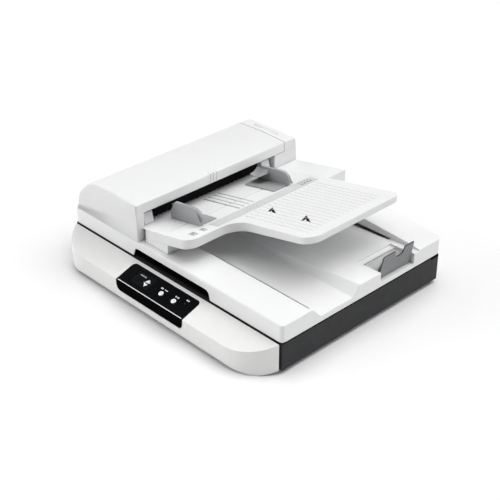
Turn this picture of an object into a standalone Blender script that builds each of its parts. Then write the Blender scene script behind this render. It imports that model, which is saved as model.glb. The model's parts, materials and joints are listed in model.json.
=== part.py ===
"""An A3 flatbed document scanner with a sheet feeder on its lid.

Metres, +Z up. +X points to the right of someone at the control panel and +Y to the back. The origin is on
the table, under the middle of the machine. Every sub-part is its own object, and each moving piece hangs from
an empty on its joint's axis.
"""

import math

import bmesh
import bpy
from mathutils import Euler, Matrix, Vector

# Clearance between touching pieces, and the usual wall of a moulded cover
GAP = 0.0003
WALL = 0.003

# Overall outline
HALF_WIDTH = 0.297
BODY_FRONT = -0.1905
BODY_BACK = 0.2483
COVER_FRONT = -0.2480
PANEL_FRONT = -0.2495
REAR_END_BACK = 0.2495

# Heights of the base
FOOT_HEIGHT = 0.0080
BASE_BOTTOM = FOOT_HEIGHT + GAP
BASE_TOP = 0.0645
PLATEN_TOP = 0.0655
COVER_CREASE_Z = 0.0460
COVER_TOP_Z = 0.0655
COVER_SLOPE = (COVER_TOP_Z - COVER_CREASE_Z) / (BODY_FRONT - COVER_FRONT)
COVER_SEAM_Y = BODY_FRONT - 0.0010
COVER_CORNER = (0.206, -0.152)
COVER_CORNER_RADIUS = COVER_CORNER[1] - COVER_FRONT
PLINTH_BOTTOM = 0.0008
PLINTH_X = (0.205, 0.262)
PLINTH_Y = -0.2212
PANEL_TILT = math.atan(COVER_SLOPE)
PANEL_PROUD = 0.0015

# Scan glass, A3 with its long side along X
GLASS_X = (-0.205, 0.227)
GLASS_Y = (-0.1505, 0.1565)
SCAN_SLOT_X = (-0.262, -0.240)
SCAN_SLOT_Y = (-0.155, 0.161)
GLASS_THICKNESS = 0.0033
GLASS_OVERLAP = 0.004

# Lid
LID_BOTTOM = 0.0670
LID_TOP = 0.1028
LOWER_DECK_Z = 0.0798
DECK_SLOPE = 0.052
DECK_START_X = -0.094
DECK_START_Z = 0.0785
UPPER_DECK_BACK = 0.181
RAIL_TOP = 0.1160
RAIL_LOW = 0.1060
RAIL_STEP_X = (-0.040, -0.020)
RAIL_LEFT = -0.0937
WELL_RIGHT = -0.0975
WELL_Y = (-0.166, 0.200)
LID_HINGE_Y = 0.2435
LID_HINGE_Z = 0.0702
LID_HINGE_X = 0.200

# Sheet feeder
FEEDER_RIGHT = -0.0945
FEEDER_BOTTOM = LID_TOP + 0.0005
COVER_BACK = 0.2092
END_WALL_BACK = -0.172
LIP_BOTTOM = 0.161
COVER_HINGE_X = -0.2866
COVER_HINGE_Z = 0.1062
COVER_HINGE_Y = (-0.145, 0.170)
SIDE_PLATE_FRONT = (-0.1625, -0.1600)
SIDE_PLATE_REAR = (0.1700, 0.1725)
PULLEY_Y = (0.1735, 0.1779)

# Roller axes in the XZ plane, radii, and the middle of the paper path
FEED_AXIS = (-0.160, 0.1289)
PICKUP_AXIS = (-0.125, 0.1330)
DRIVE_AXIS = (-0.235, 0.1150)
EXIT_AXIS = (-0.125, 0.0925)
MOTOR_AXIS = (-0.200, 0.0950)
FEED_RADIUS = 0.011
PICKUP_RADIUS = 0.008
DRIVE_RADIUS = 0.014
EXIT_RADIUS = 0.0085
PAPER_MIDDLE = 0.004

# Input tray: its top plane passes through (TRAY_X, TRAY_Z) and climbs along +X
TRAY_X = -0.086
TRAY_Z = 0.132
TRAY_SLOPE = 0.198
TRAY_ANGLE = math.atan(TRAY_SLOPE)
TRAY_FRONT = -0.178
TRAY_END = 0.2345
TRAY_BACK = 0.192
PLATFORM_FRONT = 0.1845
PLATFORM_RIGHT = 0.0477
GUIDE_SLOT_X = -0.032
PINION_RADIUS = 0.0150

# Folding paper stop at the right end
STOP_PIVOT = (0.2815, 0.0885)
STOP_LEAN = math.radians(9.03)
STOP_Y = (0.072, 0.164)
STOP_NOTCH_Y = (0.0695, 0.1665)

# Carriage drive under the glass
RAIL_Y = 0.050
RAIL_Z = 0.030
RAIL_RADIUS = 0.004
BELT_Y = -0.1425
MOTOR_PULLEY_X = 0.2675
IDLER_PULLEY_X = -0.2840
PULLEY_GROOVE = 0.0055

ARC_STEPS = 7
ROUND_STEPS = 32

model = bpy.data.collections.new("document_scanner")
tools = bpy.data.collections.new("cutters")


def clear_scene():
    for obj in list(bpy.data.objects):
        bpy.data.objects.remove(obj, do_unlink=True)
    bpy.context.scene.collection.children.link(model)
    bpy.context.scene.collection.children.link(tools)
    tools.hide_render = True


def material(name, colour, roughness, metallic=0.0):
    made = bpy.data.materials.new(name)
    made.use_nodes = True
    shader = made.node_tree.nodes["Principled BSDF"]
    shader.inputs["Base Color"].default_value = (*colour, 1.0)
    shader.inputs["Roughness"].default_value = roughness
    shader.inputs["Metallic"].default_value = metallic
    return made


def add_object(name, mesh, finish):
    """A finish makes the object a sub-part; without one it is a cutter or a piece to be joined to another."""
    obj = bpy.data.objects.new(name, mesh)
    if finish is None:
        tools.objects.link(obj)
        obj.hide_render = True
        obj.display_type = "WIRE"
    else:
        model.objects.link(obj)
        mesh.materials.append(finish)
    return obj


def mesh_of(name, bm):
    mesh = bpy.data.meshes.new(name)
    bm.to_mesh(mesh)
    bm.free()
    return mesh


def box(name, x, y, z, finish=None, bevel=0.0):
    """A block between the given limits, with rounded edges where bevel isn't zero."""
    bm = bmesh.new()
    bmesh.ops.create_cube(bm, size=1.0)
    size = Vector((x[1] - x[0], y[1] - y[0], z[1] - z[0]))
    bmesh.ops.scale(bm, vec=size, verts=bm.verts)
    obj = add_object(name, mesh_of(name, bm), finish)
    obj.location = ((x[0] + x[1]) / 2, (y[0] + y[1]) / 2, (z[0] + z[1]) / 2)
    if bevel:
        rounding = obj.modifiers.new("edges", "BEVEL")
        rounding.width = bevel
        rounding.segments = 2
    return obj


AXIS_TURNS = {"X": Euler((0, math.pi / 2, 0)), "Y": Euler((-math.pi / 2, 0, 0)), "Z": Euler((0, 0, 0))}


def rod(name, axis, start, end, across, radius, finish=None, steps=ROUND_STEPS):
    """A round bar along an axis. Across holds its two other coordinates, in X, Y, Z order."""
    bm = bmesh.new()
    bmesh.ops.create_cone(
        bm, cap_ends=True, segments=steps, radius1=radius, radius2=radius, depth=end - start
    )
    obj = add_object(name, mesh_of(name, bm), finish)
    place = list(across)
    place.insert("XYZ".index(axis), (start + end) / 2)
    obj.location = place
    obj.rotation_euler = AXIS_TURNS[axis]
    smooth(obj)
    return obj


def smooth(obj):
    obj.data.shade_smooth()
    obj.data.set_sharp_from_angle(angle=math.radians(30))


def rounded(corners, steps=ARC_STEPS):
    """The outline through these corners, (u, v) or (u, v, radius), with an arc where there is a radius."""
    points = []
    count = len(corners)
    for index, corner in enumerate(corners):
        here = Vector(corner[:2])
        radius = corner[2] if len(corner) > 2 else 0.0
        if radius <= 0.0:
            points.append(tuple(here))
            continue
        to_last = (Vector(corners[index - 1][:2]) - here).normalized()
        to_next = (Vector(corners[(index + 1) % count][:2]) - here).normalized()
        half = to_last.angle(to_next) / 2
        centre = here + (to_last + to_next).normalized() * (radius / math.sin(half))
        first = here + to_last * (radius / math.tan(half)) - centre
        sweep = first.angle_signed(here + to_next * (radius / math.tan(half)) - centre)
        for step in range(steps + 1):
            turned_arm = Matrix.Rotation(-sweep * step / steps, 2) @ first
            points.append(tuple(centre + turned_arm))
    return points


def inset(corners, distance):
    """The same corners moved inward by a distance, for an outline that runs anticlockwise."""
    moved = []
    count = len(corners)
    for index, corner in enumerate(corners):
        here = Vector(corner[:2])
        before = (here - Vector(corners[index - 1][:2])).normalized()
        after = (Vector(corners[(index + 1) % count][:2]) - here).normalized()
        inward = (before.orthogonal() + after.orthogonal()).normalized()
        reach = distance / inward.dot(before.orthogonal())
        radius = corner[2] if len(corner) > 2 else 0.0
        moved.append((*(here + inward * reach), max(radius - distance, 0.0)))
    return moved


# How an outline's own (u, v) plane stands in the model, by the axis that it is extruded along
PLANE_TURNS = {
    "X": Euler((math.pi / 2, 0, math.pi / 2)),
    "Y": Euler((math.pi / 2, 0, 0)),
    "Z": Euler((0, 0, 0)),
}


def slab(name, axis, limits, outline, finish=None, holes=()):
    """A flat outline extruded along an axis: (y, z) points along X, (x, z) along Y and (x, y) along Z."""
    curve = bpy.data.curves.new(name, "CURVE")
    curve.dimensions = "2D"
    curve.fill_mode = "BOTH"
    curve.extrude = (limits[1] - limits[0]) / 2
    for ring in (outline, *holes):
        spline = curve.splines.new("POLY")
        spline.points.add(len(ring) - 1)
        spline.use_cyclic_u = True
        for point, (u, v) in zip(spline.points, ring):
            point.co = (u, v, 0.0, 1.0)
    drawn = bpy.data.objects.new(name + "_outline", curve)
    bpy.context.scene.collection.objects.link(drawn)
    place = Vector((0.0, 0.0, 0.0))
    place["XYZ".index(axis)] = (limits[0] + limits[1]) / 2
    drawn.location = place
    drawn.rotation_euler = PLANE_TURNS[axis]
    bpy.context.view_layer.update()
    evaluated = drawn.evaluated_get(bpy.context.evaluated_depsgraph_get())
    mesh = bpy.data.meshes.new_from_object(evaluated)
    bm = bmesh.new()
    bm.from_mesh(mesh)
    bmesh.ops.remove_doubles(bm, verts=bm.verts, dist=0.00001)
    bmesh.ops.recalc_face_normals(bm, faces=bm.faces)
    bm.to_mesh(mesh)
    bm.free()
    obj = add_object(name, mesh, finish)
    obj.matrix_world = drawn.matrix_world
    bpy.data.objects.remove(drawn)
    smooth(obj)
    return obj


def turned(name, axis, across, profile, finish, closed=False, steps=ROUND_STEPS):
    """A turned piece about an axis. The profile's (radius, height) points run down its outer side."""
    mesh = bpy.data.meshes.new(name)
    points = [(radius, 0.0, height) for radius, height in profile]
    edges = [(index, index + 1) for index in range(len(points) - 1)]
    if closed:
        edges.append((len(points) - 1, 0))
    mesh.from_pydata(points, edges, [])
    obj = add_object(name, mesh, finish)
    place = list(across)
    place.insert("XYZ".index(axis), 0.0)
    obj.location = place
    obj.rotation_euler = AXIS_TURNS[axis]
    screw = obj.modifiers.new("turn", "SCREW")
    screw.steps = steps
    screw.render_steps = steps
    screw.use_merge_vertices = True
    screw.merge_threshold = 0.0001
    screw.use_smooth_shade = True
    return obj


def combine(obj, others, operation):
    for other in others:
        step = obj.modifiers.new(other.name, "BOOLEAN")
        step.operation = operation
        step.solver = "EXACT"
        step.object = other
    return obj


def cut(obj, *others):
    return combine(obj, others, "DIFFERENCE")


def join(obj, *others):
    return combine(obj, others, "UNION")


def keep(obj, *others):
    return combine(obj, others, "INTERSECT")


def into(frame, *objects):
    """Moves objects drawn about the origin into a tilted frame."""
    for obj in objects:
        obj.matrix_basis = frame @ obj.matrix_basis


def carrier(name, place, parent=None):
    """An empty on a joint's axis."""
    empty = bpy.data.objects.new(name, None)
    empty.empty_display_size = 0.02
    empty.location = place
    model.objects.link(empty)
    hang(empty, parent)
    return empty


def hang(obj, parent):
    """Parents an object to an empty and leaves it where it is."""
    if parent is None:
        return
    bpy.context.view_layer.update()
    obj.parent = parent
    obj.matrix_parent_inverse = parent.matrix_world.inverted()


# Surfaces that several sub-parts share


def cover_top(y):
    """Height of the front cover's sloping top."""
    return COVER_CREASE_Z + (y - COVER_FRONT) * COVER_SLOPE


def deck_top(x):
    """Height of the upper output deck, which climbs to the right."""
    return DECK_START_Z + (x - DECK_START_X) * DECK_SLOPE


def tray_top(x):
    return TRAY_Z + (x - TRAY_X) * TRAY_SLOPE


def tray_bottom(x):
    """Lower edge of the tray's skirt, which is deepest at the feeder."""
    deep_end = 0.0235
    shallow_end = 0.0145
    along = (x - TRAY_X) / (TRAY_END - TRAY_X)
    return tray_top(x) - deep_end + (deep_end - shallow_end) * along


def tray_frame():
    """The tray's own frame: X climbs along the tray, Z stands on it, and its origin is at the feeder."""
    return Matrix.Translation((TRAY_X, 0.0, TRAY_Z)) @ Matrix.Rotation(-TRAY_ANGLE, 4, "Y")


def panel_frame(x, y):
    """A frame on the control panel's sloping face, with Z pointing out of it."""
    height = cover_top(y) + PANEL_PROUD / math.cos(PANEL_TILT)
    return Matrix.Translation((x, y, height)) @ Matrix.Rotation(PANEL_TILT, 4, "X")


def front_outline(shrink, back):
    """Plan of the front cover: a straight front between two wide arcs that run to this Y at the back."""
    radius = COVER_CORNER_RADIUS - shrink
    first = math.asin((COVER_SEAM_Y - COVER_CORNER[1]) / radius)
    steps = 12
    right = []
    for step in range(steps + 1):
        turn = first + (-math.pi / 2 - first) * step / steps
        right.append((COVER_CORNER[0] + radius * math.cos(turn), COVER_CORNER[1] + radius * math.sin(turn)))
    if back > COVER_SEAM_Y:
        right.insert(0, (right[0][0], back))
    left = [(-x, y) for x, y in reversed(right)]
    return right + left


# Base


def make_base_pan(finish):
    corner = 0.006
    outline = rounded([
        (-HALF_WIDTH, BODY_FRONT + GAP), (HALF_WIDTH, BODY_FRONT + GAP),
        (HALF_WIDTH, BODY_BACK, corner), (-HALF_WIDTH, BODY_BACK, corner),
    ])
    pan = slab("base_pan", "Z", (BASE_BOTTOM, BASE_TOP), outline, finish)
    inside = (-HALF_WIDTH + WALL, HALF_WIDTH - WALL)
    floor = BASE_BOTTOM + WALL
    above = BASE_TOP + 0.02
    deep = (BODY_FRONT + GAP + WALL, BODY_BACK - WALL)
    cut(pan, box("pan_inside", inside, deep, (floor, above)))
    cut(pan, box("pan_side_notch", (HALF_WIDTH - 0.01, HALF_WIDTH + 0.01), (0.221, 0.244), (0.0605, above)))
    back = (BODY_BACK - 0.01, BODY_BACK + 0.01)
    cut(pan, box("inlet_hole", (-0.1563, -0.1437), back, (0.0257, 0.0383)))
    cut(pan, box("usb_hole", (-0.1218, -0.1082), back, (0.0262, 0.0388)))
    cut(pan, box("switch_hole", (-0.2528, -0.2372), back, (0.0212, 0.0428)))
    post = rod("idler_post", "Z", floor - 0.001, 0.0332, (IDLER_PULLEY_X, BELT_Y), 0.0020, steps=16)
    return join(pan, post)


def make_front_cover(finish):
    """The white front cover, with a sloping top and a skirt that reaches the table at both corners."""
    outline = front_outline(0.0, COVER_SEAM_Y)
    cover = slab("front_cover", "Z", (PLINTH_BOTTOM, COVER_TOP_Z + 0.001), outline, finish)
    cut(cover, cover_slope_cutter("cover_slope", 0.0))
    inside = front_outline(WALL, COVER_SEAM_Y + 0.005)
    hollow = slab("cover_hollow", "Z", (BASE_BOTTOM + WALL, COVER_TOP_Z + 0.001), inside)
    cut(hollow, cover_slope_cutter("hollow_slope", WALL / math.cos(PANEL_TILT)))
    cut(cover, hollow, slab("skirt_hollow", "Z", (-0.010, BASE_BOTTOM + 0.0007), inside))
    trim_skirt(cover)
    return cut(cover, panel_window("panel_opening", 0.0004, (0.180, 0.240)))


def cover_slope_cutter(name, drop):
    """Everything above the cover's slope, or above a plane this far under it."""
    far = COVER_FRONT - 0.05
    beyond = BODY_FRONT + 0.02
    over = 0.15
    top = COVER_TOP_Z - drop
    outline = [(far, cover_top(far) - drop), (BODY_FRONT, top), (beyond, top), (beyond, over), (far, over)]
    return slab(name, "X", (-HALF_WIDTH - 0.01, HALF_WIDTH + 0.01), outline)


def trim_skirt(cover):
    """Lifts the skirt along the front and towards the seam, which leaves a plinth at each corner."""
    rise = BASE_BOTTOM - PLINTH_BOTTOM
    below = -0.002
    run = PLINTH_X[1] - PLINTH_X[0]
    reach = PLINTH_X[1] + run * (PLINTH_BOTTOM - below) / rise
    front = [(-reach, below), (reach, below), (PLINTH_X[0], BASE_BOTTOM), (-PLINTH_X[0], BASE_BOTTOM)]
    cut(cover, slab("front_lift", "Y", (COVER_FRONT - 0.01, COVER_SEAM_Y + 0.01), front))
    steep = rise / (COVER_SEAM_Y - PLINTH_Y)
    back = COVER_SEAM_Y + 0.01
    start = PLINTH_Y - (PLINTH_BOTTOM - below) / steep
    side = [(start, below), (back, below), (back, below + (back - start) * steep)]
    cut(cover, slab("side_lift", "X", (-HALF_WIDTH - 0.01, HALF_WIDTH + 0.01), side))


def panel_window(name, grow, limits, finish=None):
    """The control panel's rounded outline, seen from the front and above at 45 degrees."""
    x = (-0.0935 - grow, 0.0975 + grow)
    low = (PANEL_FRONT + 0.0255) / math.sqrt(2) - grow
    high = (-0.2022 + 0.0635) / math.sqrt(2) + grow
    corners = [(x[0], low, 0.010), (x[1], low, 0.010), (x[1], high, 0.008), (x[0], high, 0.008)]
    window = slab(name, "Z", limits, rounded(corners), finish)
    into(Matrix.Rotation(math.pi / 4, 4, "X"), window)
    return window


KEY_TRIANGLE = 0.0046
ROUND_KEY_RADIUS = 0.0052
KEY_CLEARANCE = 0.0003
ARROW_KEYS = {"key_up": (-0.030, -0.2205, 1.0), "key_down": (-0.029, -0.2300, -1.0)}
ROUND_KEYS = {"key_scan": (0.0153, -0.2273), "key_cancel": (0.0509, -0.2273)}
LAMP_PLACE = (0.0748, -0.2200)


def arrow(name, place, z, grow=0.0, finish=None):
    """A small triangular key that points up or down the panel."""
    x, y, way = place
    size = KEY_TRIANGLE + grow * 2
    points = [(-size, -size * 0.8 * way), (size, -size * 0.8 * way), (0.0, size * 0.9 * way)]
    key = slab(name, "Z", z, points, finish)
    into(panel_frame(x, y), key)
    return key


def panel_rod(name, place, z, radius, finish=None):
    made = rod(name, "Z", z[0], z[1], (0.0, 0.0), radius, finish, steps=28)
    into(panel_frame(*place), made)
    return made


def display_plate(name, z, grow, finish=None):
    """The display window's rounded plate, about its own middle on the panel."""
    half_x = 0.0255 + grow
    half_y = 0.0150 + grow
    corner = 0.0025
    ends = [(-half_x, -half_y), (half_x, -half_y), (half_x, half_y), (-half_x, half_y)]
    plate = slab(name, "Z", z, rounded([(*end, corner) for end in ends], 3), finish)
    into(panel_frame(-0.0405, -0.2235), plate)
    return plate


def make_control_panel(finish, window_finish):
    thick = 0.004
    drop = thick / math.cos(PANEL_TILT)
    lift = PANEL_PROUD / math.cos(PANEL_TILT)
    back = -0.195
    low = 0.020
    inner_y = PANEL_FRONT + thick
    bent = [
        (PANEL_FRONT, low), (inner_y, low), (inner_y, cover_top(inner_y) + lift - drop),
        (back, cover_top(back) + lift - drop), (back, cover_top(back) + lift),
        (PANEL_FRONT, cover_top(PANEL_FRONT) + lift, 0.0015),
    ]
    panel = panel_window("control_panel", 0.0, (0.150, 0.240), finish)
    keep(panel, slab("panel_bend", "X", (-0.12, 0.12), rounded(bent, 3)))
    cut(panel, display_plate("display_recess", (-0.0013, 0.002), GAP))
    window = display_plate("display_window", (-0.0010, 0.0), 0.0, window_finish)
    through = (-0.010, 0.005)
    for name, place in ARROW_KEYS.items():
        hole = arrow(name + "_hole", place, through, KEY_CLEARANCE)
        cut(panel, hole)
        cut(window, hole)
    for name, place in ROUND_KEYS.items():
        cut(panel, panel_rod(name + "_hole", place, through, ROUND_KEY_RADIUS + KEY_CLEARANCE))
    cut(panel, panel_rod("lamp_hole", LAMP_PLACE, through, 0.0015))


def make_keys(finish):
    """Each key hangs from an empty on the panel's face and travels into it."""
    span = (-0.0075, 0.0007)
    for name, place in ARROW_KEYS.items():
        key = arrow(name, place, span, 0.0, finish)
        hang(key, carrier(name + "_travel", panel_frame(*place[:2]).translation))
    for name, place in ROUND_KEYS.items():
        key = panel_rod(name, place, span, ROUND_KEY_RADIUS, finish)
        hang(key, carrier(name + "_travel", panel_frame(*place).translation))


def make_platen(frame_finish, glass_finish):
    edge = HALF_WIDTH - WALL - GAP
    back = 0.237
    front = BODY_FRONT + WALL + 2 * GAP
    outline = [(-edge, front), (edge, front), (edge, back), (-edge, back)]
    holes = []
    for x, y in ((GLASS_X, GLASS_Y), (SCAN_SLOT_X, SCAN_SLOT_Y)):
        holes.append([(x[0], y[0]), (x[0], y[1]), (x[1], y[1]), (x[1], y[0])])
    slab("platen_frame", "Z", (PLATEN_TOP - WALL, PLATEN_TOP), outline, frame_finish, holes)
    top = PLATEN_TOP - WALL - GAP
    for name, x, y in (("flatbed_glass", GLASS_X, GLASS_Y), ("adf_scan_glass", SCAN_SLOT_X, SCAN_SLOT_Y)):
        wide = (x[0] - GLASS_OVERLAP, x[1] + GLASS_OVERLAP)
        deep = (y[0] - GLASS_OVERLAP, y[1] + GLASS_OVERLAP)
        box(name, wide, deep, (top - GLASS_THICKNESS, top), glass_finish)


def make_feet(finish):
    places = {
        "foot_front_left": (-0.262, -0.165), "foot_front_right": (0.262, -0.165),
        "foot_rear_left": (-0.262, 0.220), "foot_rear_right": (0.262, 0.220),
    }
    profile = [(0.0, FOOT_HEIGHT), (0.0115, FOOT_HEIGHT), (0.0115, 0.0025), (0.0100, 0.0), (0.0, 0.0)]
    for name, place in places.items():
        turned(name, "Z", place, profile, finish, steps=24)


def make_sockets(finish):
    inlet = box("power_inlet", (-0.156, -0.144), (0.234, 0.2478), (0.026, 0.038), finish)
    cut(inlet, rod("inlet_bore", "Y", 0.2365, 0.26, (-0.150, 0.032), 0.0035, steps=20))
    socket = box("usb_socket", (-0.1215, -0.1085), (0.232, 0.2478), (0.0265, 0.0385), finish)
    cut(socket, box("usb_bore", (-0.1192, -0.1108), (0.235, 0.26), (0.0287, 0.0363)))


def make_power_switch(finish):
    pivot = carrier("power_switch_pivot", (-0.245, 0.2440, 0.0320))
    face = [
        (0.2415, 0.0225), (0.2478, 0.0225), (0.2468, 0.0320), (0.2488, 0.0415), (0.2415, 0.0415),
    ]
    hang(slab("power_switch", "X", (-0.2520, -0.2380), face, finish), pivot)


def make_main_board(finish):
    board = box("main_board", (-0.050, 0.110), (0.085, 0.185), (0.0170, 0.0186), finish)
    chips = (
        ((0.000, 0.030), (0.115, 0.145)), ((0.050, 0.066), (0.120, 0.132)),
        ((-0.035, -0.015), (0.155, 0.163)),
    )
    for index, (x, y) in enumerate(chips):
        join(board, box(f"chip_{index}", x, y, (0.0180, 0.0212)))


def make_carriage(body_finish, bar_finish, shaft_finish):
    """The scan carriage at its home end, its rail, and the sensor bar that looks up through the glass."""
    slide = carrier("carriage_slide", (-0.250, RAIL_Y, RAIL_Z))
    x = (-0.280, -0.220)
    body = box("scan_carriage", x, (-0.160, 0.168), (0.036, 0.055), body_finish)
    join(body, box("carriage_boss", x, (RAIL_Y - 0.010, RAIL_Y + 0.010), (0.0240, 0.0370)))
    join(body, box("belt_clamp", (-0.262, -0.238), (BELT_Y - 0.012, BELT_Y + 0.008), (0.0320, 0.0370)))
    inner = (x[0] + WALL, x[1] - WALL)
    cut(body, box("carriage_hollow_front", inner, (-0.130, 0.036), (0.030, 0.052)))
    cut(body, box("carriage_hollow_rear", inner, (0.064, 0.165), (0.030, 0.052)))
    cut(body, rod("carriage_bore", "X", -0.30, -0.20, (RAIL_Y, RAIL_Z), RAIL_RADIUS + GAP))
    hang(body, slide)
    hang(box("sensor_bar", (-0.262, -0.238), (-0.158, 0.166), (0.0553, 0.0585), bar_finish), slide)
    reach = HALF_WIDTH - WALL - 0.0005
    rod("carriage_rail", "X", -reach, reach, (RAIL_Y, RAIL_Z), RAIL_RADIUS, shaft_finish)


def make_carriage_drive(motor_finish, pulley_finish, belt_finish):
    motor = rod("carriage_motor", "Z", 0.0116, 0.0240, (MOTOR_PULLEY_X, BELT_Y), 0.0165, motor_finish)
    join(motor, rod("motor_shaft", "Z", 0.0230, 0.0332, (MOTOR_PULLEY_X, BELT_Y), 0.0020, steps=16))
    flange = 0.0078
    bore = 0.0023
    profile = [
        (bore, 0.0325), (flange, 0.0325), (flange, 0.0312), (PULLEY_GROOVE, 0.0312),
        (PULLEY_GROOVE, 0.0258), (flange, 0.0258), (flange, 0.0245), (bore, 0.0245),
    ]
    for name, x in (("motor_pulley", MOTOR_PULLEY_X), ("idler_pulley", IDLER_PULLEY_X)):
        turned(name, "Z", (x, BELT_Y), profile, pulley_finish, closed=True, steps=24)
    ends = ((IDLER_PULLEY_X, BELT_Y, PULLEY_GROOVE), (MOTOR_PULLEY_X, BELT_Y, PULLEY_GROOVE))
    belt_loop("carriage_belt", "Z", (0.0266, 0.0304), ends, belt_finish)


def belt_loop(name, axis, limits, pulleys, finish):
    """A flat belt round its pulleys, given as (u, v, radius) in the plane it runs in."""
    thick = 0.0011
    inner = hull_of(pulleys, 0.0003)
    outer = hull_of(pulleys, 0.0003 + thick)
    return slab(name, axis, limits, outer, finish, [inner])


def hull_of(circles, grow):
    """The tight loop round some circles, as points in order."""
    steps = 24
    points = []
    for u, v, radius in circles:
        for step in range(steps):
            turn = 2 * math.pi * step / steps
            points.append((u + (radius + grow) * math.cos(turn), v + (radius + grow) * math.sin(turn)))
    points.sort()
    chains = []
    for ordered in (points, points[::-1]):
        chain = []
        for point in ordered:
            while len(chain) > 1 and turn_of(chain[-2], chain[-1], point) <= 1e-12:
                chain.pop()
            chain.append(point)
        chains += chain[:-1]
    return chains


def turn_of(a, b, c):
    return (b[0] - a[0]) * (c[1] - a[1]) - (b[1] - a[1]) * (c[0] - a[0])


def make_hinge_bases(finish):
    """Fixed halves of the two lid hinges: a post with two ears and the pin between them."""
    for side, middle in (("left", -LID_HINGE_X), ("right", LID_HINGE_X)):
        wide = (middle - 0.0135, middle + 0.0135)
        post = box("hinge_base_" + side, wide, (0.2391, 0.2448), (0.0300, 0.0640), finish)
        for number, offset in enumerate((-0.0110, 0.0110)):
            ear = (middle + offset - 0.0025, middle + offset + 0.0025)
            join(post, slab(f"ear_{side}_{number}", "X", ear, ear_outline(0.0044, 0.0600)))
        pin = (middle - 0.0125, middle + 0.0125)
        join(post, rod("pin_" + side, "X", *pin, (LID_HINGE_Y, LID_HINGE_Z), 0.0015, steps=16))
        gap = (middle - 0.0083, middle + 0.0083)
        cut(post, box("barrel_gap_" + side, gap, (0.23, 0.26), (0.0630, 0.0660)))


def ear_outline(radius, bottom):
    """A hinge ear in the YZ plane: a round eye on the axis over a straight leg."""
    points = []
    steps = 16
    for step in range(steps + 1):
        turn = math.pi * step / steps
        points.append((LID_HINGE_Y + radius * math.cos(turn), LID_HINGE_Z + radius * math.sin(turn)))
    back = 0.2448
    points += [(LID_HINGE_Y - radius, bottom), (back, bottom), (back, 0.0650), (LID_HINGE_Y + radius, 0.0680)]
    return points


# Lid


LID_WIDE = (-HALF_WIDTH - 0.002, HALF_WIDTH + 0.002)
LID_INSIDE = (-HALF_WIDTH + WALL, HALF_WIDTH - WALL)
LID_UNDER = LID_BOTTOM - 0.01
LID_OVER = 0.14


def make_lid_cover(finish):
    """The lid's shell: front rail, stepped output deck, rear rail, and the well under the feeder."""
    spare = 0.002
    edge = 0.005
    section = rounded([
        (BODY_FRONT, LID_BOTTOM - spare), (BODY_BACK, LID_BOTTOM - spare), (BODY_BACK, RAIL_TOP, 0.003),
        (UPPER_DECK_BACK - spare, RAIL_TOP), (UPPER_DECK_BACK - spare, 0.0995), (0.0122, 0.0995),
        (-0.0085, LOWER_DECK_Z, 0.004), (-0.092, LOWER_DECK_Z, 0.006), (-0.1145, LID_TOP, 0.003),
        (BODY_FRONT, LID_TOP, edge),
    ], 4)
    lid = slab("lid_cover", "X", LID_WIDE, section, finish)
    rim_x = (LID_WIDE[0] - spare, WELL_RIGHT)
    rim_y = (BODY_FRONT + edge + 0.001, BODY_BACK + spare)
    join(lid, box("feeder_rim", rim_x, rim_y, (LID_BOTTOM - 2 * spare, LID_TOP)))
    corner = 0.009
    plan = rounded([
        (-HALF_WIDTH, BODY_FRONT, corner), (HALF_WIDTH, BODY_FRONT, corner),
        (HALF_WIDTH, BODY_BACK, corner), (-HALF_WIDTH, BODY_BACK, corner),
    ])
    keep(lid, slab("lid_plan", "Z", (LID_BOTTOM, 0.13), plan))
    slope_lid(lid)
    hollow_lid(lid)
    cut_stop_recess(lid)
    grip = rounded([(-0.113, 0.0600), (0.112, 0.0600), (0.106, 0.0860, 0.010), (-0.104, 0.0860, 0.010)])
    cut(lid, slab("grip_opening", "Y", (BODY_FRONT - 0.01, BODY_FRONT + 0.006), grip))
    for side, middle in (("left", -LID_HINGE_X), ("right", LID_HINGE_X)):
        notch = (middle - 0.0145, middle + 0.0145)
        cut(lid, box("hinge_notch_" + side, notch, (0.2440, 0.26), (0.06, 0.0757)))


def slope_lid(lid):
    """Shapes the rear rail, which falls away to the right, and the deck, which climbs to the right."""
    left = -0.31
    right = 0.31
    rail = [
        (left, LID_TOP), (RAIL_LEFT, LID_TOP), (RAIL_LEFT, RAIL_LOW), (RAIL_STEP_X[0], RAIL_LOW),
        (RAIL_STEP_X[1], RAIL_TOP), (0.100, RAIL_TOP), (0.150, 0.1133), (0.200, 0.1098), (0.250, 0.1068),
        (0.280, 0.1045), (0.292, 0.1022), (right, 0.0960), (right, LID_OVER), (left, LID_OVER),
    ]
    cut(lid, slab("rail_slope", "Y", (UPPER_DECK_BACK - 0.002, BODY_BACK + 0.01), rail))
    start = -0.100
    deck = [(start, deck_top(start)), (right, deck_top(right)), (right, LID_OVER), (start, LID_OVER)]
    cut(lid, slab("deck_slope", "Y", (-0.0085, UPPER_DECK_BACK), deck))


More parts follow.
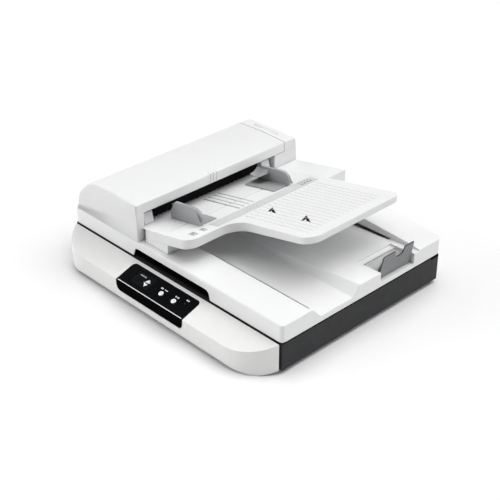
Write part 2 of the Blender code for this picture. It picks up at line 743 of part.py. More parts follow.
def hollow_lid(lid):
    """Takes the lid's inside out from below, and opens the well under the feeder right through."""
    roof = LID_TOP - WALL
    cut(lid, box("front_hollow", LID_INSIDE, (BODY_FRONT + WALL, -0.1150), (LID_UNDER, roof)))
    cut(lid, box("lower_hollow", LID_INSIDE, (-0.1160, 0.001), (LID_UNDER, LOWER_DECK_Z - WALL)))
    recess_x = 0.230
    recess_deep = 0.0085
    left = -0.110
    right = 0.262
    low = DECK_START_Z - WALL
    rising = [
        (left, LID_UNDER), (right, LID_UNDER), (right, deck_top(right) - recess_deep),
        (recess_x, deck_top(recess_x) - recess_deep), (recess_x, deck_top(recess_x) - WALL),
        (DECK_START_X, low), (left, low),
    ]
    cut(lid, slab("upper_hollow", "Y", (0.0150, UPPER_DECK_BACK - WALL), rising))
    plate_edge = HALF_WIDTH - WALL - 0.0001
    plate_room = (-plate_edge, plate_edge)
    cut(lid, box("plate_recess", plate_room, (-0.1615, 0.2400), (LID_UNDER - 0.001, 0.0738)))
    rear = (UPPER_DECK_BACK - 0.004, BODY_BACK - WALL)
    cut(lid, box("rear_hollow", LID_INSIDE, rear, (LID_UNDER, 0.0950)))
    deep = (BODY_FRONT + WALL, BODY_BACK - WALL)
    cut(lid, box("left_hollow", (LID_INSIDE[0], -0.283), deep, (LID_UNDER, roof)))
    cut(lid, box("feeder_well", (-0.280, WELL_RIGHT + 0.001), WELL_Y, (LID_UNDER, LID_OVER)))


def cut_stop_recess(lid):
    """Room for the paper stop, standing in its notch and folded flat into the deck."""
    high = 0.12
    floor_end = 0.2832
    start = 0.2365
    deep = 0.0045
    end = floor_end + 0.002
    floor = [(start, deck_top(start) - deep), (end, deck_top(end) - deep), (end, high), (start, high)]
    cut(lid, slab("stop_recess", "Y", STOP_NOTCH_Y, floor))
    cut(lid, box("stop_notch", (floor_end, 0.31), (0.0697, 0.1663), (0.0768, high + 0.001)))
    for name, y in (("front", (0.0700, 0.0750)), ("rear", (0.1610, 0.1660))):
        cut(lid, box("cheek_groove_" + name, (0.2490, 0.2840), y, (0.0900, high)))
        narrow = (y[0] + GAP, y[1] - GAP)
        cut(lid, box("cheek_slot_" + name, (0.2745, 0.2845), narrow, (0.0795, high + 0.002)))
    cut(lid, rod("stop_bore", "Y", 0.0655, 0.1705, STOP_PIVOT, 0.0018, steps=16))


def make_grip_pocket(finish):
    deep = (BODY_FRONT + WALL + GAP, -0.166)
    pocket = box("grip_pocket", (-0.117, 0.116), deep, (0.0680, 0.0885), finish)
    mouth = rounded([(-0.1125, 0.0700), (0.1115, 0.0700), (0.106, 0.0862, 0.010), (-0.104, 0.0862, 0.010)])
    cut(pocket, slab("grip_mouth", "Y", (BODY_FRONT - 0.01, -0.168), mouth))


def make_lid_underside(plate_finish, pad_finish):
    edge = HALF_WIDTH - WALL - GAP
    window_x = (-0.266, -0.236)
    window_y = (-0.158, 0.164)
    outline = [(-edge, -0.160), (edge, -0.160), (edge, 0.2385), (-edge, 0.2385)]
    hole = [(x, y) for x, ends in zip(window_x, (window_y, window_y[::-1])) for y in ends]
    slab("lid_base_plate", "Z", (0.0708, 0.0733), outline, plate_finish, [hole])
    box("backing_pad", (-0.208, 0.232), (-0.156, 0.161), (0.0662, 0.0705), pad_finish, bevel=0.0008)


def make_hinge_arms(finish):
    """Moving halves of the lid hinges: a barrel on the pin and a leaf up inside the lid's back wall."""
    for side, middle in (("left", -LID_HINGE_X), ("right", LID_HINGE_X)):
        wide = (middle - 0.0080, middle + 0.0080)
        through = (middle - 0.02, middle + 0.02)
        pin = (LID_HINGE_Y, LID_HINGE_Z)
        arm = rod("hinge_arm_" + side, "X", *wide, pin, 0.0040, finish, steps=24)
        join(arm, box("hinge_leaf_" + side, wide, (0.2412, 0.2448), (0.0715, 0.0940)))
        cut(arm, rod("barrel_bore_" + side, "X", *through, pin, 0.0018, steps=16))


# Sheet feeder


def feeder_corners():
    """Front view of the feeder's outline, anticlockwise from its bottom left."""
    return [
        (-0.2866, FEEDER_BOTTOM), (FEEDER_RIGHT, FEEDER_BOTTOM), (FEEDER_RIGHT, 0.1828, 0.003),
        (-0.165, 0.1850, 0.30), (-0.2379, 0.1815, 0.068), (-0.2817, 0.1412, 0.055), (-0.2888, 0.1060),
    ]


def feeder_inside(bottom):
    """The hollow of the feeder's outline, open below."""
    inner = inset(feeder_corners(), WALL)
    left = inner[-1][0]
    return [(inner[0][0], bottom), (inner[1][0], bottom), *inner[2:-1], (left, 0.1120), (left, bottom)]


def make_adf_cover(finish):
    """The feeder's tall cover, open below and at the back, with a mouth for paper under its right lip."""
    hinge = carrier("adf_cover_hinge", (COVER_HINGE_X, 0.0, COVER_HINGE_Z))
    cover = slab("adf_cover", "Y", (BODY_FRONT, COVER_BACK), rounded(feeder_corners()), finish)
    bottom = FEEDER_BOTTOM - 0.01
    inner = inset(feeder_corners(), WALL)
    ledge_x = -0.2835
    hollow = [
        (ledge_x, bottom), (-0.085, bottom), (-0.085, LIP_BOTTOM), (inner[2][0], LIP_BOTTOM), *inner[2:6],
        (-0.2852, 0.1250), (ledge_x, 0.1110),
    ]
    cut(cover, slab("cover_inside", "Y", (END_WALL_BACK, COVER_BACK + 0.01), rounded(hollow)))
    pocket = [(ledge_x, bottom), (inner[2][0], bottom), *inner[2:6], (-0.2852, 0.1250), (ledge_x, 0.1110)]
    cut(cover, slab("end_pocket", "Y", (BODY_FRONT + WALL, END_WALL_BACK - WALL), rounded(pocket)))
    for index, y in enumerate(COVER_HINGE_Y):
        slot = (y - 0.0055, y + 0.0055)
        cut(cover, box(f"hinge_slot_{index}", (-0.30, -0.2825), slot, (bottom, 0.1092)))
        bore = (y - 0.0098, y + 0.0098)
        pin = (COVER_HINGE_X, COVER_HINGE_Z)
        cut(cover, rod(f"cover_pin_bore_{index}", "Y", *bore, pin, 0.0014, steps=16))
    hang(cover, hinge)


def make_cover_hinges(finish):
    """Two brackets on the lid's left edge, each with stub pins that the feeder cover turns on."""
    radius = 0.0022
    bottom = LID_TOP + GAP
    outline = [(COVER_HINGE_X - radius, bottom), (COVER_HINGE_X + radius, bottom)]
    steps = 12
    for step in range(steps + 1):
        turn = math.pi * step / steps
        outline.append((COVER_HINGE_X + radius * math.cos(turn), COVER_HINGE_Z + radius * math.sin(turn)))
    pin = (COVER_HINGE_X, COVER_HINGE_Z)
    for name, y in zip(("cover_hinge_front", "cover_hinge_rear"), COVER_HINGE_Y):
        bracket = slab(name, "Y", (y - 0.005, y + 0.005), outline, finish)
        join(bracket, rod(name + "_pin", "Y", y - 0.0092, y + 0.0092, pin, 0.0011, steps=16))


def make_adf_rear_end(finish):
    """The fixed housing behind the cover, with a leaning back face and a block behind the paper mouth."""
    front = COVER_BACK + GAP * 2
    end = slab("adf_rear_end", "Y", (front, REAR_END_BACK), rounded(feeder_corners()), finish)
    top = 0.1856
    start = front - 0.01
    side = rounded([
        (start, FEEDER_BOTTOM), (REAR_END_BACK, FEEDER_BOTTOM), (0.2425, top, 0.012), (start, top),
    ])
    keep(end, slab("rear_lean", "X", (-0.30, -0.08), side))
    hollow = rounded(feeder_inside(FEEDER_BOTTOM - 0.01))
    cut(end, slab("rear_hollow_end", "Y", (front + WALL, 0.2360), hollow))
    beyond = FEEDER_RIGHT + 0.002
    join(end, box("mouth_block", (-0.180, beyond), (0.1805, front + 0.001), (FEEDER_BOTTOM, 0.1600)))
    cut(end, box("flush_side", (FEEDER_RIGHT - 0.0002, beyond + 0.002), (0.170, 0.260), (0.090, 0.200)))


def make_adf_chassis(finish):
    """Side plates, lower guide, separator table and shelf of the paper path, moulded in one piece."""
    low = 0.0738
    plate = [
        (-0.276, low), (-0.103, low), (-0.103, 0.1180), (-0.152, 0.1180), (-0.152, 0.1480, 0.006),
        (-0.235, 0.1480, 0.012), (-0.276, 0.1200, 0.010),
    ]
    chassis = slab("adf_chassis", "Y", SIDE_PLATE_FRONT, rounded(plate), finish)
    join(chassis, slab("rear_side_plate", "Y", SIDE_PLATE_REAR, rounded(plate)))
    between = (SIDE_PLATE_FRONT[0] + 0.001, SIDE_PLATE_REAR[1] - 0.001)
    join(chassis, box("lower_guide", (-0.240, -0.1035), between, (low, low + 0.0025)))
    join(chassis, box("far_guide", (-0.2755, -0.262), between, (low, low + 0.0025)))
    skin = 0.0025
    table_x = (-0.1505, -0.0905)
    table = [(x, tray_top(x) - 0.0005) for x in table_x]
    table += [(x, z - skin) for x, z in reversed(table)]
    join(chassis, slab("separator_table", "Y", between, table))
    join(chassis, box("pad_shelf", (-0.172, -0.1490), between, (0.1115, 0.1142)))
    join(chassis, box("exit_fascia", (-0.1060, -0.1035), between, (0.1065, 0.1262)))
    for name, axis in (("feed", FEED_AXIS), ("drive", DRIVE_AXIS), ("exit", EXIT_AXIS)):
        cut(chassis, rod(name + "_bearing", "Y", -0.17, 0.18, axis, 0.0033, steps=20))
    return chassis


def make_roller(name, axis, radius, tyres, finish, pulley_radius):
    """A shaft with rubber tyres and a drive pulley behind the rear side plate, turned in one piece."""
    shaft = 0.0030
    ends = (SIDE_PLATE_FRONT[0] - 0.002, PULLEY_Y[1])
    profile = [(0.0, ends[1]), (pulley_radius, ends[1]), (pulley_radius, PULLEY_Y[0]), (shaft, PULLEY_Y[0])]
    for start, end in reversed(tyres):
        profile += [(shaft, end), (radius, end), (radius, start), (shaft, start)]
    profile += [(shaft, ends[0]), (0.0, ends[0])]
    spin = carrier(name + "_axis", (axis[0], 0.0, axis[1]))
    hang(turned(name, "Y", axis, profile, finish, steps=28), spin)


def make_feeder_rollers(finish):
    middle = PAPER_MIDDLE
    make_roller("feed_roller", FEED_AXIS, FEED_RADIUS, ((middle - 0.022, middle + 0.022),), finish, 0.0070)
    long_tyres = (
        (middle - 0.130, middle - 0.100), (middle - 0.020, middle + 0.020), (middle + 0.100, middle + 0.130),
    )
    make_roller("drive_roller", DRIVE_AXIS, DRIVE_RADIUS, long_tyres, finish, 0.0100)
    make_roller("exit_roller", EXIT_AXIS, EXIT_RADIUS, long_tyres, finish, 0.0070)


def make_pickup(arm_finish, roller_finish):
    """The pick-up roller in an arm that swings on the feed roller's shaft."""
    swing = carrier("pickup_arm_axis", (FEED_AXIS[0], 0.0, FEED_AXIS[1]))
    eyes = ((*FEED_AXIS, 0.0055), (*PICKUP_AXIS, 0.0050), (-0.148, 0.1432, 0.001), (-0.136, 0.1432, 0.001))
    cheek = hull_of(eyes, 0.0)
    front = (PAPER_MIDDLE - 0.0270, PAPER_MIDDLE - 0.0250)
    rear = (PAPER_MIDDLE + 0.0250, PAPER_MIDDLE + 0.0270)
    arm = slab("pickup_arm", "Y", front, cheek, arm_finish)
    join(arm, slab("arm_rear_cheek", "Y", rear, cheek))
    join(arm, box("arm_bridge", (-0.147, -0.137), (front[0] + 0.0005, rear[1] - 0.0005), (0.1422, 0.1438)))
    cut(arm, rod("arm_feed_eye", "Y", -0.05, 0.06, FEED_AXIS, 0.0033, steps=20))
    cut(arm, rod("arm_pickup_eye", "Y", -0.05, 0.06, PICKUP_AXIS, 0.0018, steps=20))
    hang(arm, swing)
    spin = carrier("pickup_roller_axis", (PICKUP_AXIS[0], 0.0, PICKUP_AXIS[1]), swing)
    half = 0.020
    shaft = 0.0015
    tip = 0.0285
    steps = ((0.0, tip), (shaft, tip), (shaft, half), (PICKUP_RADIUS, half))
    profile = [(radius, PAPER_MIDDLE + reach) for radius, reach in steps]
    profile += [(radius, PAPER_MIDDLE - reach) for radius, reach in reversed(steps)]
    hang(turned("pickup_roller", "Y", PICKUP_AXIS, profile, roller_finish, steps=28), spin)


def make_feeder_drive(motor_finish, pulley_finish, belt_finish):
    motor = rod("adf_motor", "Y", 0.1805, 0.1985, MOTOR_AXIS, 0.0160, motor_finish)
    join(motor, rod("adf_motor_shaft", "Y", 0.1732, 0.1815, MOTOR_AXIS, 0.0015, steps=16))
    radius = 0.0050
    bore = 0.0018
    ring = [(bore, PULLEY_Y[1]), (radius, PULLEY_Y[1]), (radius, PULLEY_Y[0]), (bore, PULLEY_Y[0])]
    spin = carrier("adf_motor_gear_axis", (MOTOR_AXIS[0], 0.0, MOTOR_AXIS[1]))
    hang(turned("adf_motor_gear", "Y", MOTOR_AXIS, ring, pulley_finish, closed=True, steps=24), spin)
    loop = ((*FEED_AXIS, 0.0070), (*DRIVE_AXIS, 0.0100), (*EXIT_AXIS, 0.0070), (*MOTOR_AXIS, radius))
    belt_loop("adf_belt", "Y", (PULLEY_Y[0] + 0.0006, PULLEY_Y[1] - 0.0006), loop, belt_finish)


def make_separation_pad(finish):
    wide = (PAPER_MIDDLE - 0.020, PAPER_MIDDLE + 0.020)
    box("separation_pad", (-0.168, -0.1520), wide, (0.1145, 0.1174), finish)


def make_mouth_guards(finish):
    """Pale walls at both ends of the paper mouth, standing on the separator table."""
    lift = 0.0006
    back = -0.149
    front = -0.100
    top = 0.1520
    outline = [(x, tray_top(x) + lift) for x in (back, front)] + [(front - 0.006, top), (back, top)]
    slab("front_guard", "Y", (-0.1655, -0.1436), outline, finish)
    slab("rear_guard", "Y", (0.1516, 0.1735), outline, finish)


# Input tray


def make_input_tray(finish):
    """A hollow moulded tray with a narrow throat at the feeder, a swept shoulder and a wide outer end."""
    seam = PLATFORM_FRONT - GAP
    step_x = PLATFORM_RIGHT + 0.0005
    corners = [
        (TRAY_X, TRAY_FRONT), (0.042, TRAY_FRONT, 0.025), (0.042, -0.058, 0.038), (TRAY_END, -0.058, 0.030),
        (TRAY_END, TRAY_BACK, 0.018), (step_x, TRAY_BACK), (step_x, seam), (TRAY_X, seam),
    ]
    tray = slab("input_tray", "Z", (0.095, 0.215), rounded(corners, 10), finish)
    y = (TRAY_FRONT - 0.01, TRAY_BACK + 0.01)
    ends = (TRAY_X - 0.01, TRAY_END + 0.01)
    above = [(ends[0], tray_top(ends[0])), (ends[1], tray_top(ends[1])), (ends[1], 0.25), (ends[0], 0.25)]
    cut(tray, slab("tray_above", "Y", y, above))
    below = [(ends[0], 0.08), (ends[1], 0.08)]
    below += [(x, tray_bottom(x)) for x in reversed(ends)]
    cut(tray, slab("tray_below", "Y", y, below))
    hollow = slab("tray_hollow", "Z", (0.080, 0.220), rounded(tray_inside(corners), 10))
    drop = WALL / math.cos(TRAY_ANGLE)
    ceiling = [(x, z - drop if z < 0.24 else z) for x, z in above]
    cut(hollow, slab("tray_ceiling", "Y", y, ceiling))
    cut(tray, hollow)
    middle = along_tray(GUIDE_SLOT_X)
    slot = box("guide_slot", (middle - 0.0011, middle + 0.0011), (-0.160, 0.176), (-0.010, 0.010))
    into(tray_frame(), slot)
    cut(tray, slot)


def tray_inside(corners):
    """The tray's corners moved in by a wall. The shoulder's hollow corner grows where the others shrink."""
    shoulder = 2
    inner = []
    for index, (corner, moved) in enumerate(zip(corners, inset(corners, WALL))):
        radius = corner[2] + WALL if index == shoulder else moved[2]
        inner.append((*moved[:2], radius))
    return inner


def make_tray_supports(finish):
    left = TRAY_X
    right = -0.020
    bottom = LID_TOP + GAP
    front = [(left, bottom), (right, bottom)]
    front += [(x, tray_bottom(x) - GAP) for x in (right, left)]
    slab("tray_bracket", "Y", (TRAY_FRONT, -0.1200), front, finish)
    start = RAIL_LEFT
    seat = RAIL_TOP + GAP
    low_seat = RAIL_LOW + GAP
    body = [
        (start, low_seat), (RAIL_STEP_X[0], low_seat), (RAIL_STEP_X[1], seat), (PLATFORM_RIGHT, seat),
        (PLATFORM_RIGHT, tray_top(PLATFORM_RIGHT)), (start, tray_top(start)),
    ]
    platform = slab("rear_platform", "Y", (PLATFORM_FRONT, 0.2440), body, finish)
    drop = WALL / math.cos(TRAY_ANGLE)
    inner = [(start + WALL, low_seat - 0.01), (PLATFORM_RIGHT - WALL, low_seat - 0.01)]
    inner += [(x, tray_top(x) - drop) for x in (PLATFORM_RIGHT - WALL, start + WALL)]
    cut(platform, slab("platform_hollow", "Y", (PLATFORM_FRONT + WALL, 0.2440 - WALL), inner))


def along_tray(x):
    """Distance up the tray of a place at this X."""
    return (x - TRAY_X) / math.cos(TRAY_ANGLE)


def make_size_scale(finish):
    wide = (along_tray(0.011), along_tray(0.0355))
    strip = box("size_scale", wide, (-0.100, 0.176), (GAP, GAP + 0.0005), finish)
    into(tray_frame(), strip)


RACK_DEEP = (-0.0085, -0.0040)
RACK_WIDE = 0.005
STEM_HALF = 0.0008


def make_guides(finish, pinion_finish):
    """Two paper guides that slide apart together, with racks on either side of one pinion under the tray."""
    make_guide("front_guide", (-0.116, -0.110), (-0.111, -0.073), -1, 0.0380, finish)
    make_guide("rear_guide", (0.118, 0.124), (0.0816, 0.119), 1, 0.0330, finish)
    slot = along_tray(GUIDE_SLOT_X)
    teeth = 20
    root = 0.0136
    outline = []
    for tooth in range(teeth):
        for part, radius in ((0.0, root), (0.25, root), (0.42, PINION_RADIUS), (0.58, PINION_RADIUS)):
            turn = 2 * math.pi * (tooth + part) / teeth
            outline.append((slot + radius * math.cos(turn), PAPER_MIDDLE + radius * math.sin(turn)))
    pinion = slab("guide_pinion", "Z", (-0.0083, -0.0042), outline, pinion_finish)
    into(tray_frame(), pinion)
    hang(pinion, carrier("guide_pinion_axis", tray_frame() @ Vector((slot, PAPER_MIDDLE, 0.0))))


def make_guide(name, wall_y, plate_y, side, tall, finish):
    """A guide wall, its foot plate, a stem through the tray's slot, and a rack on its side of the pinion."""
    slot = along_tray(GUIDE_SLOT_X)
    start = along_tray(-0.0815)
    wall = rounded([
        (start, 0.0005), (0.0935, 0.0005, 0.003), (0.1005, tall / 2, 0.010),
        (0.0930, tall - 0.004, 0.020), (start + 0.018, tall, 0.012), (start + 0.001, 0.0140, 0.012),
    ])
    guide = slab(name, "Y", wall_y, wall, finish)
    inner = slot + side * (PINION_RADIUS + 0.0005)
    outer = inner + side * RACK_WIDE
    middle = sum(wall_y) / 2
    reach = PAPER_MIDDLE - side * 0.048
    foot = sorted((outer, slot - side * STEM_HALF))
    pieces = (
        box(name + "_plate", (start, along_tray(0.0035)), plate_y, (0.0005, 0.0022)),
        box(name + "_stem", (slot - STEM_HALF, slot + STEM_HALF), wall_y, (-0.0050, 0.0015)),
        box(name + "_foot", foot, wall_y, RACK_DEEP),
        box(name + "_rack", sorted((outer, inner)), sorted((middle, reach)), RACK_DEEP),
    )
    into(tray_frame(), guide, *pieces)
    join(guide, *pieces)
    hang(guide, carrier(name + "_slide", tray_frame() @ Vector((slot, middle, 0.0))))


def make_exit_stopper(finish):
    """The folding paper stop: a notched plate on two cheeks that turn on stub pins in the lid."""
    frame = Matrix.Translation((STOP_PIVOT[0], 0.0, STOP_PIVOT[1])) @ Matrix.Rotation(STOP_LEAN, 4, "Y")
    low = -0.0085
    top = 0.0412
    face = rounded([
        (STOP_Y[0], low), (STOP_Y[1], low), (STOP_Y[1] - 0.001, top, 0.001), (0.1370, top, 0.001),
        (0.1335, 0.0255, 0.008), (0.1130, 0.0255, 0.008), (0.1090, top, 0.001),
        (STOP_Y[0] + 0.004, top, 0.003),
    ], 5)
    inner = 0.00615
    outer = 0.00865
    stopper = slab("exit_stopper", "X", (inner, outer), face, finish)
    edge = 0.0064
    cheek = [
        (-0.0030, -0.0012), (0.0, -0.0031), (edge, low), (edge, 0.0300), (0.0030, 0.0070), (-0.0028, 0.0016),
    ]
    pieces = []
    for name, y in (("front", (STOP_Y[0], STOP_Y[0] + 0.0022)), ("rear", (STOP_Y[1] - 0.0022, STOP_Y[1]))):
        pieces.append(slab("cheek_" + name, "Y", y, cheek))
    pieces.append(rod("stop_pin_front", "Y", 0.0665, STOP_Y[0] + 0.001, (0.0, 0.0), 0.0015, steps=16))
    pieces.append(rod("stop_pin_rear", "Y", STOP_Y[1] - 0.001, 0.1695, (0.0, 0.0), 0.0015, steps=16))
    into(frame, stopper, *pieces)
    join(stopper, *pieces)
    hang(stopper, carrier("exit_stopper_axis", frame.translation))


def build():
    white = material("white_plastic", (0.88, 0.89, 0.90), 0.38)
    pale = material("pale_plastic", (0.62, 0.63, 0.64), 0.45)
    grey = material("grey_plastic", (0.30, 0.31, 0.32), 0.45)
    charcoal = material("charcoal_plastic", (0.035, 0.036, 0.038), 0.45)
    black = material("black_plastic", (0.012, 0.012, 0.013), 0.5)
    gloss = material("gloss_black", (0.008, 0.009, 0.011), 0.12)
    window = material("display_plastic", (0.015, 0.017, 0.02), 0.08)
    key = material("key_white", (0.85, 0.86, 0.87), 0.3)
    lamp = material("lamp_plastic", (0.30, 0.34, 0.30), 0.2)
    rubber = material("rubber", (0.03, 0.03, 0.03), 0.85)
    glass = material("glass", (0.75, 0.82, 0.80), 0.03)
    steel = material("steel", (0.62, 0.62, 0.64), 0.3, 1.0)
    board = material("board_green", (0.03, 0.16, 0.07), 0.5)
    foam = material("white_foam", (0.86, 0.86, 0.85), 0.8)

    make_base_pan(charcoal)
    make_front_cover(white)
    make_control_panel(gloss, window)
    make_keys(key)
    panel_rod("status_lamp", LAMP_PLACE, (-0.0035, 0.0002), 0.0012, lamp)
    make_platen(black, glass)
    make_feet(rubber)
    make_sockets(black)
    make_power_switch(black)
    make_main_board(board)
    make_carriage(black, glass, steel)
    make_carriage_drive(steel, pale, rubber)
    make_hinge_bases(steel)

    make_lid_cover(white)
    make_grip_pocket(black)
    make_lid_underside(white, foam)
    make_hinge_arms(steel)

    make_adf_cover(white)
    make_cover_hinges(white)
    make_adf_rear_end(white)
    make_adf_chassis(black)
    make_feeder_rollers(rubber)
    make_pickup(grey, rubber)
    make_feeder_drive(steel, pale, rubber)
    make_separation_pad(rubber)
    make_mouth_guards(pale)

    make_input_tray(white)
    make_tray_supports(white)
    make_size_scale(pale)
    make_guides(grey, white)
    make_exit_stopper(grey)


clear_scene()
build()
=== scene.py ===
"""The looks of the document scanner: materials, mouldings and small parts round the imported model."""

import json
import math

import bmesh
import bpy
from mathutils import Matrix, Vector
from mathutils.geometry import convex_hull_2d

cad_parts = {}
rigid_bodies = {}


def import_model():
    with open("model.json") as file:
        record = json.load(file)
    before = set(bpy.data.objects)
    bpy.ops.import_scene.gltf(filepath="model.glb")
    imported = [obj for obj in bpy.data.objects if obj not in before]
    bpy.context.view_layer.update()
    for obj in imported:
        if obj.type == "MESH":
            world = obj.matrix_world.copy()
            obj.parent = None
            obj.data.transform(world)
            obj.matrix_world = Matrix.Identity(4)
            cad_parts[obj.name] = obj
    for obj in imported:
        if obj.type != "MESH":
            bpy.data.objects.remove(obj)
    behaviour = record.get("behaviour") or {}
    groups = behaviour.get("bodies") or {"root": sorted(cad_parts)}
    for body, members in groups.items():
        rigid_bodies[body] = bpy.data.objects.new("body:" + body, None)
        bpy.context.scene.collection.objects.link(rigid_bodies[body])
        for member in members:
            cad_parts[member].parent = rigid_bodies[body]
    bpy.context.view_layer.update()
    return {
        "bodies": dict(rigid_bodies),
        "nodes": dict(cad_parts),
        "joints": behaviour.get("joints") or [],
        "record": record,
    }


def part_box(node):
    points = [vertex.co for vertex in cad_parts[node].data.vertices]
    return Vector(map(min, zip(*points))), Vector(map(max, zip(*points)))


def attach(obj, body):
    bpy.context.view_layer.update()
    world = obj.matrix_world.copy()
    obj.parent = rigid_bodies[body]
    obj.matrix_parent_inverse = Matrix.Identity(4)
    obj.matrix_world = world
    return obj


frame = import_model()
nodes = frame["nodes"]

MM = 0.001

# Shader building blocks

COLOUR_FACTOR, COLOUR_FIRST, COLOUR_SECOND, COLOUR_RESULT = 0, 6, 7, 2  # a Mix node's sockets for colours
NOISE_RANGE = (0.3, 0.7)  # where most of a noise's values lie
UNIT_RANGE = (0.0, 1.0)


def add_node(tree, kind, inputs=None, **settings):
    """A shader node. Inputs are sockets to link or values to set."""
    made = tree.nodes.new(kind)
    for key, value in settings.items():
        setattr(made, key, value)
    for key, value in (inputs or {}).items():
        if isinstance(value, bpy.types.NodeSocket):
            tree.links.new(value, made.inputs[key])
        else:
            made.inputs[key].default_value = value
    return made


def blank_material(name, roughness, metallic=0.0, **sockets):
    """A material with its node tree and shader. Underlines in a socket's name stand for spaces."""
    made = bpy.data.materials.new(name)
    made.use_nodes = True
    shader = made.node_tree.nodes["Principled BSDF"]
    shader.inputs["Roughness"].default_value = roughness
    shader.inputs["Metallic"].default_value = metallic
    for key, value in sockets.items():
        shader.inputs[key.replace("_", " ")].default_value = value
    return made, made.node_tree, shader


def object_place(tree):
    return add_node(tree, "ShaderNodeTexCoord").outputs["Object"]


def noise(tree, scale, detail=2.0, rough=0.5, vector=None):
    """A noise over the object, with a scale in features per metre."""
    inputs = {"Vector": vector or object_place(tree), "Scale": scale, "Detail": detail, "Roughness": rough}
    return add_node(tree, "ShaderNodeTexNoise", inputs).outputs["Fac"]


def mapped(tree, value, source, target):
    """A value carried from one range to another."""
    inputs = {"Value": value}
    inputs["From Min"], inputs["From Max"] = source
    inputs["To Min"], inputs["To Max"] = target
    return add_node(tree, "ShaderNodeMapRange", inputs).outputs["Result"]


def mixed(tree, factor, first, second):
    """A blend of two colours."""
    inputs = {COLOUR_FACTOR: factor, COLOUR_FIRST: first, COLOUR_SECOND: second}
    return add_node(tree, "ShaderNodeMix", inputs, data_type="RGBA").outputs[COLOUR_RESULT]


def add_bump(tree, shader, height, strength, depth):
    bump = add_node(tree, "ShaderNodeBump", {"Height": height, "Strength": strength, "Distance": depth})
    tree.links.new(bump.outputs["Normal"], shader.inputs["Normal"])


def shade(colour, amount):
    return (*(channel * amount for channel in colour), 1.0)


# Materials

WORN_EDGE = (0.515, 0.56)  # from a flat face to a rubbed edge, in pointiness
POLISH = 0.04  # how far a moulding's roughness strays from its mean


def moulded(name, colour, roughness, grain=2200.0, depth=0.00002, mottle=0.03, wear=1.05, **sockets):
    """Moulded plastic: a fine spark-eroded grain, faint mottling, and edges polished by hands."""
    made, tree, shader = blank_material(name, roughness, **sockets)
    cloud = mapped(tree, noise(tree, scale=9.0, detail=4.0), NOISE_RANGE, UNIT_RANGE)
    body = mixed(tree, cloud, shade(colour, 1.0 - mottle), shade(colour, 1.0))
    edge = add_node(tree, "ShaderNodeNewGeometry").outputs["Pointiness"]
    worn = mixed(tree, mapped(tree, edge, WORN_EDGE, UNIT_RANGE), body, shade(colour, wear))
    tree.links.new(worn, shader.inputs["Base Color"])
    gloss_range = (roughness - POLISH, roughness + POLISH)
    spread = mapped(tree, noise(tree, scale=60.0, detail=3.0), NOISE_RANGE, gloss_range)
    tree.links.new(spread, shader.inputs["Roughness"])
    add_bump(tree, shader, noise(tree, grain, detail=2.0, rough=0.6), strength=0.35, depth=depth)
    return made


def brushed(name, colour, roughness, stretch=(1.0, 60.0, 60.0)):
    """Turned or drawn steel: long fine scratches along one axis."""
    made, tree, shader = blank_material(name, roughness, metallic=1.0)
    stretched = add_node(tree, "ShaderNodeMapping", {"Vector": object_place(tree), "Scale": stretch})
    lines = noise(tree, scale=90.0, detail=3.0, rough=0.6, vector=stretched.outputs["Vector"])
    tree.links.new(mixed(tree, lines, shade(colour, 0.82), shade(colour, 1.0)), shader.inputs["Base Color"])
    spread = mapped(tree, lines, source=(0.2, 0.8), target=(roughness - 0.08, roughness + 0.1))
    tree.links.new(spread, shader.inputs["Roughness"])
    add_bump(tree, shader, lines, strength=0.2, depth=0.00001)
    return made


def clear_glass(name, tint):
    """Tinted glass with faint smears."""
    made, tree, shader = blank_material(name, 0.02, Transmission_Weight=0.92, IOR=1.5)
    haze = noise(tree, scale=14.0, detail=5.0, rough=0.6)
    tree.links.new(mixed(tree, haze, shade(tint, 0.96), shade(tint, 1.0)), shader.inputs["Base Color"])
    smears = mapped(tree, haze, source=(0.4, 0.7), target=(0.01, 0.05))
    tree.links.new(smears, shader.inputs["Roughness"])
    return made


def circuit_board(name, mask=(0.012, 0.075, 0.03), track=(0.05, 0.21, 0.08)):
    """Green solder mask over a faint lattice of copper tracks."""
    made, tree, shader = blank_material(name, roughness=0.35)
    cells = {"Vector": object_place(tree), "Scale": 260.0}
    lattice = add_node(tree, "ShaderNodeTexVoronoi", cells, distance="CHEBYCHEV", feature="DISTANCE_TO_EDGE")
    lines = mapped(tree, lattice.outputs["Distance"], source=(0.03, 0.07), target=(1.0, 0.0))
    tree.links.new(mixed(tree, lines, shade(mask, 1.0), shade(track, 1.0)), shader.inputs["Base Color"])
    add_bump(tree, shader, lines, strength=0.4, depth=0.00003)
    return made


DULL = {"Specular_IOR_Level": 0.25}
SHADE_DULL = {"Specular_IOR_Level": 0.1}
PRINTED = {"depth": 0.00001, "wear": 1.0}

# White and grey mouldings
white = moulded("white_shell", (0.836, 0.838, 0.842), 0.42)
warm_white = moulded("white_cover", (0.832, 0.828, 0.818), 0.42)
white_rough = moulded("white_inner", (0.80, 0.81, 0.82), 0.5, grain=1500.0, depth=0.00004)
# painted shade: the ribs are greyer than the tray, for the shaded lines that their relief casts
rib_shade_grey = moulded("rib_shade_grey", (0.69, 0.695, 0.70), 0.45)
stripe_grey = moulded("stripe_grey", (0.62, 0.625, 0.63), 0.5)
guide_grey = moulded("guide_grey", (0.36, 0.365, 0.37), 0.42, wear=1.15)
stopper_grey = moulded("stopper_grey", (0.19, 0.193, 0.198), 0.42, wear=1.2)
stopper_edge = moulded("stopper_edge", (0.02, 0.0205, 0.021), 0.4, wear=1.2, **DULL)

